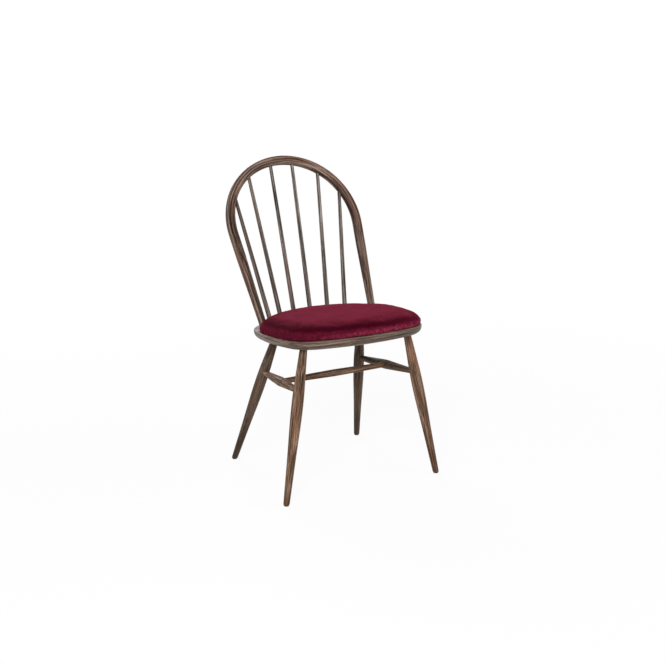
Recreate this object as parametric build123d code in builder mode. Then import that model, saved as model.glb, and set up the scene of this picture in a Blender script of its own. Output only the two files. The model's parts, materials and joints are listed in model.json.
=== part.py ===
from build123d import *

import os
from math import asin, atan2, cos, degrees, hypot, radians, sin, sqrt, tan

os.makedirs("parts", exist_ok=True)

# A bow-back windsor chair with a tilted seat board and an upholstered pad. Millimetres and degrees.
# It faces -Y, +X is the sitter's left, the floor is Z = 0 and the origin lies under the chair's middle.

# Seat board
seat_height = 419.0  # its top face over the origin
seat_tilt = 4.25  # it falls towards the back
seat_thickness = 25.0
seat_half_width = 216.5
seat_widest_ahead = 78.7  # how far ahead of the origin it is widest
seat_front_reach = 181.6  # from its widest place to its front edge
seat_rear_reach = 216.5
seat_front_radius = 532.0
seat_side_radius = 455.0
seat_rear_radius = 249.0
seat_front_corner = 89.0
seat_rear_corner = 122.0
seat_top_rounding = 3.5
seat_under_rounding = 20.0

# Joints in wood
glue_gap = 0.1
tenon_past_centre = 4.0  # how far a side stretcher's tenon goes past the middle of its leg
cross_tenon_short = 1.0  # how far a cross stretcher's tenon stops before the side stretcher's middle
spindle_socket_depth = 17.0
wedge_depth = 18.0
wedge_butt = 3.2
wedge_tip = 0.8
wedge_gap = 0.05
overrun = 8.0  # how far a cut or an untrimmed end runs past its face

# Legs: where their axes meet the floor and the seat's top face
front_foot_aside = 237.8
front_foot_ahead = 224.8
front_head_aside = 155.2
front_head_ahead = 179.1
rear_foot_aside = 207.4
rear_foot_behind = 159.4
rear_head_aside = 129.7
rear_head_behind = 13.8
leg_foot_radius = 8.2
leg_calf_radius = 12.3
leg_belly_radius = 15.3
leg_neck_radius = 10.3
leg_calf_share = 0.327  # of the way up its axis
leg_belly_share = 0.65
leg_neck_below = 6.0  # how far under the seat its parallel neck starts
leg_foot_slope = 0.03  # the side's slope at the foot
leg_neck_slope = -0.03
leg_foot_chamfer = 1.0

# Stretchers
front_joint_height = 296.7
rear_joint_height = 278.4
side_belly_radius = 13.5
side_end_radius = 8.2
side_end_straight = 30.0
side_elbow_radius = 160.0
cross_station_share = 0.5  # along the side stretchers' axes
cross_belly_radius = 10.0
cross_end_radius = 7.6
cross_end_straight = 18.0
cross_elbow_radius = 300.0

# Bow
bow_foot_aside = 174.0
bow_foot_behind = 17.1
bow_lean = 28.5  # from upright
bow_rise = 485.2  # its centre line above the seat, along its plane
bow_crown_radius = 207.0
bow_crown_angle = 34.0  # each side of the top
bow_shoulder_radius = 190.0
bow_width = 24.8
bow_depth = 22.6
bow_corner = 7.2
bow_foot_radius = 10.5
bow_foot_flat = 0.4  # straight left between the round corners of the foot's section
bow_foot_straight = 40.0
bow_taper = 170.0

# Spindles: angles about the middle of the seat's spindle arc and about the crown's centre
spindle_foot_angles = (7.1, 20.8, 34.3)
spindle_head_angles = (9.7, 32.8, 55.5)
spindle_arc_radius = 213.6
spindle_setback = 16.7  # from the seat's rear edge to the arc
spindle_foot_radius = 6.7
spindle_head_radius = 4.9
spindle_head_straight = 26.0

# Glides and their nails
glide_radius = 7.0
glide_height = 3.0
glide_rounding = 0.8
nail_radius = 1.0
nail_head_radius = 2.2
nail_head_height = 0.8
nail_length = 15.0
nail_recess = 1.2

# Seat pad: rows of its section say how high, how far drawn in at the foot and how far over the shoulder
pad_margin = 1.5  # inside the seat's edge
pad_setback = 35.0  # ahead of the seat's rear edge
pad_rear_radius = 240.0
pad_rear_corner = 95.0
pad_height = 39.0
pad_draw_in = 2.0
pad_shoulder = 84.0
pad_section_shares = (
    (0.00, 1.00, 0.000),
    (0.13, 0.20, 0.000),
    (0.30, 0.00, 0.000),
    (0.47, 0.00, 0.036),
    (0.58, 0.00, 0.071),
    (0.685, 0.00, 0.120),
    (0.79, 0.00, 0.190),
    (0.87, 0.00, 0.286),
    (0.92, 0.00, 0.430),
    (0.965, 0.00, 0.670),
    (0.99, 0.00, 0.860),
    (1.00, 0.00, 1.120),
)
pad_notch_gap = 3.5  # between the pad and the bow's feet
cover_thickness = 1.5
cover_lip = 26.0  # turned in under the pad board
pad_gap = 0.3  # between the pad's own layers
pad_board_thickness = 9.0
lining_thickness = 0.5
lining_gap = 2.0

# Fasteners of the pad
screw_spacing_x = 170.0
screw_spacing_y = 180.0
screw_ahead = 70.0  # middle of the four, ahead of the origin
screw_radius = 2.0
screw_head_radius = 4.0
screw_head_height = 3.0
screw_length = 27.0
screw_tip = 3.0
screw_tip_taper = 25.0
screw_slot = 0.9
screw_slot_depth = 1.4
screw_slot_margin = 1.0
screw_clearance = 0.3
screw_pilot_gap = 0.05
counterbore_radius = 5.0
counterbore_depth = 7.0
staple_count = 30
staple_inset = 13.0
staple_width = 10.0
staple_leg = 6.0
staple_wire = 0.6
staple_lift = 0.3
staple_gap = 0.05

# Worked out from the sizes above
seat_slope = tan(radians(seat_tilt))
seat_normal = Vector(0, sin(radians(seat_tilt)), cos(radians(seat_tilt)))
seat_top = Plane(origin=(0, 0, seat_height), x_dir=(1, 0, 0), z_dir=seat_normal)
seat_under = seat_top.offset(-seat_thickness)
seat_axis = Axis(seat_top.origin, seat_normal)
seat_front_edge = seat_widest_ahead + seat_front_reach
seat_rear_edge = seat_rear_reach - seat_widest_ahead
pad_rear_edge = seat_rear_edge - pad_setback
pad_board_lift = cover_thickness
foam_lift = pad_board_lift + pad_board_thickness


def on_seat(x, y):
    """The point of the seat's top face above or below the plan place x, y."""
    return Vector(x, y, seat_height - y * seat_slope)


def rod(start, end, radius):
    """A straight round bar."""
    with BuildPart() as bar:
        with BuildSketch(Plane(origin=start, z_dir=end - start)):
            Circle(radius)
        extrude(amount=(end - start).length)
    return bar.part


def lathe_plane(start, end):
    """A plane through a member's axis: X runs from start to end, so a half profile can be turned about it."""
    along = (end - start).normalized()
    across = Vector(0, 1, 0) if abs(along.Z) > abs(along.Y) else Vector(0, 0, 1)
    return Plane(origin=start, x_dir=along, z_dir=along.cross(across).normalized())


def oval(plane, inset, rear_edge, rear_radius, rear_corner):
    """The seat's plan outline in arcs, drawn in by inset, with its own rear edge."""
    size = 1 - inset / seat_half_width
    with BuildSketch(plane) as plan:
        with Locations((0, inset - seat_front_edge + seat_front_radius * size)):
            Circle(seat_front_radius * size)
        for side in (1, -1):
            side_centre = side * (seat_half_width - inset - seat_side_radius * size)
            with Locations((side_centre, -seat_widest_ahead)):
                Circle(seat_side_radius * size, mode=Mode.INTERSECT)
        with Locations((0, rear_edge - inset - rear_radius * size)):
            Circle(rear_radius * size, mode=Mode.INTERSECT)
        rows = plan.vertices().group_by(Axis.Y)
        fillet(rows[0], seat_front_corner * size)
        rows = plan.vertices().group_by(Axis.Y)
        fillet(rows[-1], rear_corner * size)
    return plan.sketch


def seat_oval(plane, inset):
    """The seat board's outline, drawn in by inset."""
    return oval(plane, inset, seat_rear_edge, seat_rear_radius, seat_rear_corner)


def pad_oval(plane, inset):
    """The pad's outline, drawn in by inset from its widest line."""
    return oval(plane, pad_margin + inset, pad_rear_edge, pad_rear_radius, pad_rear_corner)


def screw_dots(plane, radius):
    """Four circles at the pad screws' places."""
    with BuildSketch(plane) as dots:
        with Locations((0, -screw_ahead)):
            with GridLocations(screw_spacing_x, screw_spacing_y, 2, 2):
                Circle(radius)
    return dots.sketch


def tenon_wedge(end, out, radius, face, gap):
    """The wedge in a through tenon's end, widened by gap for its kerf, and trimmed at the face."""
    width = (Vector(1, 0, 0) - out * out.X).normalized()
    butt = wedge_tip / 2 + (wedge_butt - wedge_tip) / 2 * (wedge_depth + overrun) / wedge_depth
    with BuildPart() as wedge:
        with BuildSketch(Plane(origin=end, x_dir=out.cross(width), z_dir=width)):
            with BuildLine():
                Polyline(
                    (-wedge_tip / 2 - gap, -wedge_depth - gap),
                    (wedge_tip / 2 + gap, -wedge_depth - gap),
                    (butt + gap, overrun),
                    (-butt - gap, overrun),
                    close=True,
                )
            make_face()
        extrude(amount=radius + overrun, both=True)
        add(rod(end - out * (wedge_depth + overrun), end + out * overrun, radius), mode=Mode.INTERSECT)
        split(bisect_by=face, keep=Keep.BOTTOM)
    return wedge.part


# Leg axes, by name: foot on the floor, head on the seat's top face
leg_axes = {}
for side_name, side in (("left", 1), ("right", -1)):
    leg_axes["front_" + side_name] = (
        Vector(side * front_foot_aside, -front_foot_ahead, 0),
        on_seat(side * front_head_aside, -front_head_ahead),
    )
    leg_axes["rear_" + side_name] = (
        Vector(side * rear_foot_aside, rear_foot_behind, 0),
        on_seat(side * rear_head_aside, rear_head_behind),
    )


def leg_point(place, height):
    """The point of a leg's axis at a height above the floor."""
    foot, head = leg_axes[place]
    return foot + (head - foot) * (height / head.Z)


def leg_direction(place):
    """The way up along a leg's axis."""
    foot, head = leg_axes[place]
    return (head - foot).normalized()


def stretcher_axis(side_name):
    """The ends of a side stretcher's axis, on the axes of its two legs."""
    return leg_point("front_" + side_name, front_joint_height), leg_point("rear_" + side_name, rear_joint_height)


def side_stretcher_ends(side_name):
    """Where a side stretcher's tenons end inside the legs."""
    front, rear = stretcher_axis(side_name)
    along = (rear - front).normalized()
    return front - along * tenon_past_centre, rear + along * tenon_past_centre


def cross_stretcher_ends():
    """Where the cross stretcher's tenons end inside the side stretchers, right end first."""
    ends = []
    for side_name, inward in (("right", 1), ("left", -1)):
        front, rear = stretcher_axis(side_name)
        middle = front + (rear - front) * cross_station_share
        ends.append(middle + Vector(inward * cross_tenon_short, 0, 0))
    return ends


# The bow's centre line, in its own plane: Y runs up along the lean
lean_up = Vector(0, sin(radians(bow_lean)), cos(radians(bow_lean)))
bow_plane = Plane(
    origin=on_seat(0, bow_foot_behind),
    x_dir=(1, 0, 0),
    z_dir=Vector(1, 0, 0).cross(lean_up),
)
crown_centre_y = bow_rise - bow_crown_radius
radius_step = bow_crown_radius - bow_shoulder_radius
shoulder_x = radius_step * sin(radians(bow_crown_angle))
shoulder_y = crown_centre_y + radius_step * cos(radians(bow_crown_angle))
foot_to_shoulder = hypot(shoulder_x - bow_foot_aside, shoulder_y)
straight_length = sqrt(foot_to_shoulder**2 - bow_shoulder_radius**2)
foot_angle = degrees(
    atan2(shoulder_y, shoulder_x - bow_foot_aside) - asin(bow_shoulder_radius / foot_to_shoulder)
)
shoulder_sweep = 180 - bow_crown_angle - foot_angle


def bow_foot_point(side, distance):
    """The point of the bow's straight part at a distance from the seat, on one side."""
    x = bow_foot_aside + distance * cos(radians(foot_angle))
    return bow_plane.from_local_coords(Vector(side * x, distance * sin(radians(foot_angle)), 0))


def bow_foot_up(side):
    """The way up along the bow's straight part, on one side."""
    return (bow_foot_point(side, straight_length) - bow_foot_point(side, 0)).normalized()


def bow_line_point(angle):
    """The point of the bow's centre line seen from the crown's centre at an angle from its top, left positive."""
    across, up = sin(radians(abs(angle))), cos(radians(abs(angle)))
    reach = bow_crown_radius
    if abs(angle) > bow_crown_angle:
        off_x, off_y = shoulder_x, shoulder_y - crown_centre_y
        along = across * off_x + up * off_y
        reach = along + sqrt(bow_shoulder_radius**2 - off_x**2 - off_y**2 + along**2)
    side = 1 if angle > 0 else -1
    return bow_plane.from_local_coords(Vector(side * reach * across, crown_centre_y + reach * up, 0))


def bow_tenon(side):
    """The bow tenon's end on the seat's underside and the way out of it."""
    out = -bow_foot_up(side)
    reach = seat_thickness / -out.dot(seat_normal)
    return bow_foot_point(side, 0) + out * reach, out


# Spindle axes from the sitter's right to the left, foot on the seat's top face and head in the bow
spindle_arc_centre = seat_rear_edge - spindle_setback - spindle_arc_radius
spindle_axes = []
for side, order in ((-1, (2, 1, 0)), (1, (0, 1, 2))):
    for place in order:
        foot_turn = radians(spindle_foot_angles[place])
        foot_local = Vector(
            side * spindle_arc_radius * sin(foot_turn),
            spindle_arc_centre + spindle_arc_radius * cos(foot_turn),
            0,
        )
        head = bow_line_point(side * spindle_head_angles[place])
        spindle_axes.append((seat_top.from_local_coords(foot_local), head))


def pad_notch(side, skin):
    """The space kept round the bow's foot on one side, wider than the pad's gap by skin."""
    middle, up = bow_foot_point(side, 0), bow_foot_up(side)
    return rod(middle - up * pad_height, middle + up * 2 * pad_height, bow_foot_radius + pad_notch_gap + skin)


def pad_form(skin):
    """The crowned cushion, drawn in all round by skin, with its notches round the bow's feet."""
    with BuildPart() as form:
        for rise_share, draw_share, shoulder_share in pad_section_shares:
            rise = skin + rise_share * (pad_height - 2 * skin)
            add(pad_oval(seat_top.offset(rise), skin + draw_share * pad_draw_in + shoulder_share * pad_shoulder))
        loft()
        for side in (1, -1):
            add(pad_notch(side, skin), mode=Mode.SUBTRACT)
    return form.part


def staples(gap):
    """The row of staples under the pad board, thickened by gap for their slots."""
    line = pad_oval(seat_top, staple_inset).wire()
    feet = [bow_foot_point(side, 0) for side in (1, -1)]
    clear = bow_foot_radius + pad_notch_gap + cover_thickness + staple_width
    with BuildPart() as row:
        for number in range(staple_count):
            spot = line.position_at(number / staple_count)
            if min((spot - foot).length for foot in feet) < clear:
                continue
            along = line.tangent_at(number / staple_count)
            with BuildSketch(Plane(origin=spot, x_dir=along, z_dir=along.cross(seat_normal))):
                with Locations((0, staple_lift)):
                    full = staple_wire + staple_leg
                    Rectangle(
                        staple_width + 2 * gap,
                        full + 2 * gap,
                        align=(Align.CENTER, Align.MIN),
                    )
                with Locations((0, staple_lift + staple_wire + 2 * gap)):
                    Rectangle(
                        staple_width - 2 * staple_wire - 2 * gap,
                        full,
                        align=(Align.CENTER, Align.MIN),
                        mode=Mode.SUBTRACT,
                    )
            extrude(amount=staple_wire / 2 + gap, both=True)
    return row.part


# Seat board
with BuildPart() as seat_board:
    add(seat_oval(seat_under, 0))
    extrude(amount=seat_thickness, dir=seat_normal)
    fillet(seat_board.faces().sort_by(seat_axis)[-1].edges(), seat_top_rounding)
    fillet(seat_board.faces().sort_by(seat_axis)[0].edges(), seat_under_rounding)
    for place, (foot, head) in leg_axes.items():
        up = leg_direction(place)
        low = head - up * (2 * seat_thickness)
        add(rod(low, head + up * overrun, leg_neck_radius + glue_gap), mode=Mode.SUBTRACT)
    for side in (1, -1):
        up = bow_foot_up(side)
        low = bow_foot_point(side, 0) - up * (2 * seat_thickness)
        high = bow_foot_point(side, 0) + up * (2 * overrun)
        add(rod(low, high, bow_foot_radius + glue_gap), mode=Mode.SUBTRACT)
    for foot, head in spindle_axes:
        up = (head - foot).normalized()
        low = foot - up * (spindle_socket_depth + glue_gap)
        add(rod(low, foot + up * overrun, spindle_foot_radius + glue_gap), mode=Mode.SUBTRACT)
    add(screw_dots(seat_under, screw_radius + screw_clearance))
    extrude(amount=seat_thickness, dir=seat_normal, mode=Mode.SUBTRACT)
    add(screw_dots(seat_under, counterbore_radius))
    extrude(amount=counterbore_depth, dir=seat_normal, mode=Mode.SUBTRACT)
seat_board.part.label = "seat_board"
export_step(seat_board.part, "parts/seat_board.step")

# Legs
for place, (foot, head) in leg_axes.items():
    axis_length = (head - foot).length
    neck_start = axis_length - (seat_thickness + leg_neck_below) * axis_length / head.Z
    up = leg_direction(place)
    joint_height = front_joint_height if place.startswith("front") else rear_joint_height
    stretcher_end, other_end = side_stretcher_ends(place.split("_")[1])
    if place.startswith("rear"):
        stretcher_end, other_end = other_end, stretcher_end
    nail_top = leg_point(place, glide_height) + Vector(0, 0, nail_length - glide_height + glue_gap)
    with BuildPart() as leg:
        with BuildSketch(lathe_plane(foot, head)):
            with BuildLine():
                top = axis_length + overrun
                base = Line((-overrun, 0), (-overrun, leg_foot_radius))
                shin = Line(base @ 1, (0, leg_foot_radius))
                body = Spline(
                    shin @ 1,
                    (leg_calf_share * axis_length, leg_calf_radius),
                    (leg_belly_share * axis_length, leg_belly_radius),
                    (neck_start, leg_neck_radius),
                    tangents=[(1, leg_foot_slope), (1, leg_neck_slope)],
                )
                neck = Line(body @ 1, (top, leg_neck_radius))
                Polyline(neck @ 1, (top, 0), base @ 0)
            make_face()
        revolve(axis=Axis(foot, up))
        split(bisect_by=seat_top, keep=Keep.BOTTOM)
        split(bisect_by=Plane.XY.offset(glide_height), keep=Keep.TOP)
        chamfer(leg.faces().sort_by(Axis.Z)[0].edges(), leg_foot_chamfer)
        toward = (other_end - stretcher_end).normalized()
        add(
            rod(
                stretcher_end - toward * glue_gap,
                stretcher_end + toward * 2 * leg_belly_radius,
                side_end_radius + glue_gap,
            ),
            mode=Mode.SUBTRACT,
        )
        add(rod(leg_point(place, glide_height) - Vector(0, 0, overrun), nail_top, nail_radius + wedge_gap),
            mode=Mode.SUBTRACT)
        add(tenon_wedge(head, up, leg_neck_radius + overrun, seat_top.offset(overrun), wedge_gap),
            mode=Mode.SUBTRACT)
    leg.part.label = "leg_" + place
    export_step(leg.part, f"parts/leg_{place}.step")

# Wedges in the legs' heads
with BuildPart() as leg_wedges:
    for place, (foot, head) in leg_axes.items():
        add(tenon_wedge(head, leg_direction(place), leg_neck_radius, seat_top, 0))
leg_wedges.part.label = "leg_wedges"
export_step(leg_wedges.part, "parts/leg_wedges.step")

# Side stretchers
for side_name in ("left", "right"):
    front, rear = side_stretcher_ends(side_name)
    length = (rear - front).length
    cross_right, cross_left = cross_stretcher_ends()
    cross_end, cross_far = (cross_left, cross_right) if side_name == "left" else (cross_right, cross_left)
    with BuildPart() as side_stretcher:
        with BuildSketch(lathe_plane(front, rear)) as half:
            with BuildLine():
                Polyline(
                    (0, 0),
                    (0, side_end_radius),
                    (side_end_straight, side_end_radius),
                    (length / 2, side_belly_radius),
                    (length - side_end_straight, side_end_radius),
                    (length, side_end_radius),
                    (length, 0),
                    close=True,
                )
            make_face()
            fillet(half.vertices().sort_by(Axis.Y)[-1], side_elbow_radius)
        revolve(axis=Axis(front, rear - front))
        inward = (cross_far - cross_end).normalized()
        add(
            rod(
                cross_end - inward * glue_gap,
                cross_end + inward * 2 * side_belly_radius,
                cross_end_radius + glue_gap,
            ),
            mode=Mode.SUBTRACT,
        )
    side_stretcher.part.label = "side_stretcher_" + side_name
    export_step(side_stretcher.part, f"parts/side_stretcher_{side_name}.step")

# Cross stretcher
cross_right, cross_left = cross_stretcher_ends()
cross_length = (cross_left - cross_right).length
with BuildPart() as cross_stretcher:
    with BuildSketch(lathe_plane(cross_right, cross_left)) as half:
        with BuildLine():
            Polyline(
                (0, 0),
                (0, cross_end_radius),
                (cross_end_straight, cross_end_radius),
                (cross_length / 2, cross_belly_radius),
                (cross_length - cross_end_straight, cross_end_radius),
                (cross_length, cross_end_radius),
                (cross_length, 0),
                close=True,
            )
        make_face()
        fillet(half.vertices().sort_by(Axis.Y)[-1], cross_elbow_radius)
    revolve(axis=Axis(cross_right, cross_left - cross_right))
cross_stretcher.part.label = "cross_stretcher"
export_step(cross_stretcher.part, "parts/cross_stretcher.step")

# Bow
bow_full = bow_foot_straight + bow_taper  # where the feet have their whole section
with BuildPart() as back_bow:
    with BuildLine(bow_plane) as bow_line:
        full_x = bow_foot_aside + bow_full * cos(radians(foot_angle))
        full_y = bow_full * sin(radians(foot_angle))
        end_x = bow_foot_aside + straight_length * cos(radians(foot_angle))
        end_y = straight_length * sin(radians(foot_angle))
        Line((full_x, full_y), (end_x, end_y))
        CenterArc((shoulder_x, shoulder_y), bow_shoulder_radius, foot_angle - 90, shoulder_sweep)
        CenterArc((0, crown_centre_y), bow_crown_radius, 90 - bow_crown_angle, 2 * bow_crown_angle)
        CenterArc((-shoulder_x, shoulder_y), bow_shoulder_radius, 90 + bow_crown_angle, shoulder_sweep)
        Line((-end_x, end_y), (-full_x, full_y))
    with BuildSketch(Plane(origin=bow_foot_point(1, bow_full), x_dir=bow_plane.z_dir, z_dir=bow_foot_up(1))):
        RectangleRounded(bow_depth, bow_width, bow_corner)
    sweep()
    for side in (1, -1):
        up = bow_foot_up(side)
        with BuildSketch(Plane(origin=bow_foot_point(side, bow_full), x_dir=bow_plane.z_dir, z_dir=up)):
            RectangleRounded(bow_depth, bow_width, bow_corner)
        with BuildSketch(Plane(origin=bow_foot_point(side, bow_foot_straight), x_dir=bow_plane.z_dir, z_dir=up)):
            RectangleRounded(2 * bow_foot_radius, 2 * bow_foot_radius, bow_foot_radius - bow_foot_flat / 2)
        loft(ruled=True)
        low = bow_foot_point(side, 0) - up * (2 * seat_thickness)
        add(rod(low, bow_foot_point(side, bow_foot_straight), bow_foot_radius))
    split(bisect_by=seat_under, keep=Keep.TOP)
    for foot, head in spindle_axes:
        along = (head - foot).normalized()
        start = head - along * 2 * spindle_head_straight
        add(rod(start, head + along * glue_gap, spindle_head_radius + glue_gap), mode=Mode.SUBTRACT)
    for side in (1, -1):
        end, out = bow_tenon(side)
        face = Plane(origin=seat_under.origin, x_dir=(1, 0, 0), z_dir=-seat_normal).offset(overrun)
        add(tenon_wedge(end, out, bow_foot_radius + overrun, face, wedge_gap), mode=Mode.SUBTRACT)
back_bow.part.label = "back_bow"
export_step(back_bow.part, "parts/back_bow.step")

# Wedges in the bow's feet
with BuildPart() as bow_wedges:
    for side in (1, -1):
        end, out = bow_tenon(side)
        face = Plane(origin=seat_under.origin, x_dir=(1, 0, 0), z_dir=-seat_normal)
        add(tenon_wedge(end, out, bow_foot_radius, face, 0))
bow_wedges.part.label = "bow_wedges"
export_step(bow_wedges.part, "parts/bow_wedges.step")

# Spindles
for number, (foot, head) in enumerate(spindle_axes, start=1):
    start = foot - (head - foot).normalized() * spindle_socket_depth
    length = (head - start).length
    with BuildPart() as spindle:
        with BuildSketch(lathe_plane(start, head)):
            with BuildLine():
                Polyline(
                    (0, 0),
                    (0, spindle_foot_radius),
                    (spindle_socket_depth, spindle_foot_radius),
                    (length - spindle_head_straight, spindle_head_radius),
                    (length, spindle_head_radius),
                    (length, 0),
                    close=True,
                )
            make_face()
        revolve(axis=Axis(start, head - start))
    spindle.part.label = f"spindle_{number}"
    export_step(spindle.part, f"parts/spindle_{number}.step")

# Glides under the feet
for place in leg_axes:
    centre = leg_point(place, glide_height)
    with BuildPart() as glide:
        with BuildSketch(Plane(origin=(centre.X, centre.Y, 0), z_dir=(0, 0, 1))):
            Circle(glide_radius)
        extrude(amount=glide_height)
        fillet(glide.faces().sort_by(Axis.Z)[0].edges(), glide_rounding)
        with Locations(Plane(origin=(centre.X, centre.Y, 0), z_dir=(0, 0, -1))):
            CounterBoreHole(nail_radius + wedge_gap, nail_head_radius + wedge_gap, nail_recess)
    glide.part.label = "glide_" + place
    export_step(glide.part, f"parts/glide_{place}.step")

# Nails of the glides
with BuildPart() as glide_nails:
    for place in leg_axes:
        centre = leg_point(place, glide_height)
        under = Vector(centre.X, centre.Y, nail_recess)
        add(rod(under - Vector(0, 0, nail_head_height), under, nail_head_radius))
        add(rod(under, Vector(centre.X, centre.Y, nail_length), nail_radius))
glide_nails.part.label = "glide_nails"
export_step(glide_nails.part, "parts/glide_nails.step")

# Pad board
with BuildPart() as pad_board:
    add(pad_oval(seat_top.offset(pad_board_lift), pad_draw_in + cover_thickness + pad_gap))
    extrude(amount=pad_board_thickness, dir=seat_normal)
    for side in (1, -1):
        add(pad_notch(side, cover_thickness + pad_gap), mode=Mode.SUBTRACT)
    add(screw_dots(seat_under, screw_radius + screw_pilot_gap))
    pilot_reach = counterbore_depth + screw_length + screw_pilot_gap
    extrude(amount=pilot_reach, dir=seat_normal, mode=Mode.SUBTRACT)
    add(staples(staple_gap), mode=Mode.SUBTRACT)
pad_board.part.label = "pad_board"
export_step(pad_board.part, "parts/pad_board.step")

# Foam
with BuildPart() as pad_foam:
    add(pad_form(cover_thickness + pad_gap))
    split(bisect_by=seat_top.offset(foam_lift), keep=Keep.TOP)
pad_foam.part.label = "pad_foam"
export_step(pad_foam.part, "parts/pad_foam.step")

# Velvet cover, turned in under the pad board
with BuildPart() as pad_cover:
    add(pad_form(0))
    add(pad_form(cover_thickness), mode=Mode.SUBTRACT)
    add(pad_oval(seat_top, cover_lip))
    extrude(amount=cover_thickness, dir=seat_normal, mode=Mode.SUBTRACT)
    add(staples(staple_gap), mode=Mode.SUBTRACT)
pad_cover.part.label = "pad_cover"
export_step(pad_cover.part, "parts/pad_cover.step")

# Dust cloth in the middle of the underside
with BuildPart() as pad_lining:
    add(pad_oval(seat_top.offset(pad_board_lift - lining_thickness), cover_lip + lining_gap))
    extrude(amount=lining_thickness, dir=seat_normal)
    add(screw_dots(seat_top, screw_radius + screw_clearance))
    extrude(amount=pad_board_lift, dir=seat_normal, mode=Mode.SUBTRACT)
    for side in (1, -1):
        add(pad_notch(side, cover_thickness + lining_gap), mode=Mode.SUBTRACT)
pad_lining.part.label = "pad_lining"
export_step(pad_lining.part, "parts/pad_lining.step")

# Staples
with BuildPart() as pad_staples:
    add(staples(0))
pad_staples.part.label = "pad_staples"
export_step(pad_staples.part, "parts/pad_staples.step")

# Screws from below
with BuildPart() as pad_screws:
    add(screw_dots(seat_under.offset(counterbore_depth - screw_head_height), screw_head_radius))
    extrude(amount=screw_head_height, dir=seat_normal)
    with BuildSketch(seat_under.offset(counterbore_depth - screw_head_height)):
        with Locations((0, -screw_ahead)):
            with GridLocations(screw_spacing_x, screw_spacing_y, 2, 2):
                reach = 2 * (screw_head_radius - screw_slot_margin)
                Rectangle(reach, screw_slot)
                Rectangle(screw_slot, reach)
    extrude(amount=screw_slot_depth, mode=Mode.SUBTRACT)
    add(screw_dots(seat_under.offset(counterbore_depth), screw_radius))
    extrude(amount=screw_length - screw_tip, dir=seat_normal)
    add(screw_dots(seat_under.offset(counterbore_depth + screw_length - screw_tip), screw_radius))
    extrude(amount=screw_tip, dir=seat_normal, taper=screw_tip_taper)
pad_screws.part.label = "pad_screws"
export_step(pad_screws.part, "parts/pad_screws.step")
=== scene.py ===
"""A bow-back windsor chair with a velvet seat pad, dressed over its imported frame. Metres throughout."""

import json
import logging
import math
from dataclasses import dataclass
from enum import Enum

import bmesh
import bpy
import numpy as np
from mathutils import Matrix, Vector
from mathutils.bvhtree import BVHTree

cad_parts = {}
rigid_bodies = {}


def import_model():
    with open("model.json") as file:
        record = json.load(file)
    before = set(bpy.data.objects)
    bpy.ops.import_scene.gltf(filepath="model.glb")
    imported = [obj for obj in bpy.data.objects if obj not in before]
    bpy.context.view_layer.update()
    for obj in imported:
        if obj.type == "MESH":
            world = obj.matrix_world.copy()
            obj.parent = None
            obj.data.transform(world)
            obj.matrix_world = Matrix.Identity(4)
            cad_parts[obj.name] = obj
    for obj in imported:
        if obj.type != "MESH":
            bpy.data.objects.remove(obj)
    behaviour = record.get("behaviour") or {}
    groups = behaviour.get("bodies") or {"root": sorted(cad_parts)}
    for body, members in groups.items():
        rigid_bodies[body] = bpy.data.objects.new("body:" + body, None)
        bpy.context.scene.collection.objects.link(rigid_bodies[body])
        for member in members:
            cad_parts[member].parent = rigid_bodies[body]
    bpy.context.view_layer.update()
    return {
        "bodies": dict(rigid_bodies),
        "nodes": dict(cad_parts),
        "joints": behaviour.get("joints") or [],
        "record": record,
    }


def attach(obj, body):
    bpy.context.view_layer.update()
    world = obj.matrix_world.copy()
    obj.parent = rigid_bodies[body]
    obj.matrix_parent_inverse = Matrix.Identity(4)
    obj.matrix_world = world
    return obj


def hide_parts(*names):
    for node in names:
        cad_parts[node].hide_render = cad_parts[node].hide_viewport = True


LOG = logging.getLogger("chair")
# The velvet paints shade in the creases and light on the folds from this mark
FOLD = "fold"  # the mesh attribute that runs from -1 in the cloth's creases to 1 on the folds between
TINY = 1e-9  # the least length that is divided by
SIDEWAYS = Vector((1, 0, 0))
UPWARDS = Vector((0, 0, 1))

Colour = tuple[float, float, float, float]
Point = tuple[float, float, float]
Span = tuple[float, float]
Node = bpy.types.Node
Socket = bpy.types.NodeSocket
Tree = bpy.types.NodeTree
Piece = bpy.types.Object


class Kind(Enum):
    """The socket types that node groups use."""

    FLOAT = "NodeSocketFloat"
    COLOR = "NodeSocketColor"
    VECTOR = "NodeSocketVector"


class Effect(Enum):
    """The node groups that the materials share."""

    GRAIN = "stained grain"
    FILM = "lacquer film"
    SCUFF = "edge scuff"


class Stain(Enum):
    """The stains of the straight wooden members, by their names among the finishes."""

    TURNED = "turned"
    # A darker copy of the turned stain, as painted shade
    DUSKY = "dusky"
    SPUN = "spun"


@dataclass(frozen=True)
class Cut:
    """How a straight member is cut from the wood and stained.

    Attributes:
        shift: where in the wood it is cut.
        stain: its stain.
    """

    shift: float
    stain: Stain = Stain.TURNED


MEMBERS = {
    "leg_front_left": Cut(0.29),
    "leg_front_right": Cut(0.82),
    # The rear legs and the left side stretcher take the darker copy of the stain as painted shade
    "leg_rear_left": Cut(1.35, Stain.DUSKY),
    "leg_rear_right": Cut(1.88, Stain.DUSKY),
    "side_stretcher_left": Cut(2.41, Stain.DUSKY),
    "side_stretcher_right": Cut(2.94),
    "cross_stretcher": Cut(4.13),
    "spindle_1": Cut(11.9, Stain.SPUN),
    "spindle_2": Cut(9.63, Stain.SPUN),
    "spindle_3": Cut(5.06, Stain.SPUN),
    "spindle_4": Cut(16.89, Stain.SPUN),
    "spindle_5": Cut(6.12, Stain.SPUN),
    "spindle_6": Cut(9.35, Stain.SPUN),
}
BOW_SHIFT = 8.9
SEAT_SHIFT = 5.3
WEDGE_SHIFTS = {"leg_wedges": 7.7, "bow_wedges": 8.7}


def clamp01(value: float) -> float:
    """A number held between 0 and 1."""
    return max(0.0, min(1.0, value))


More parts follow.
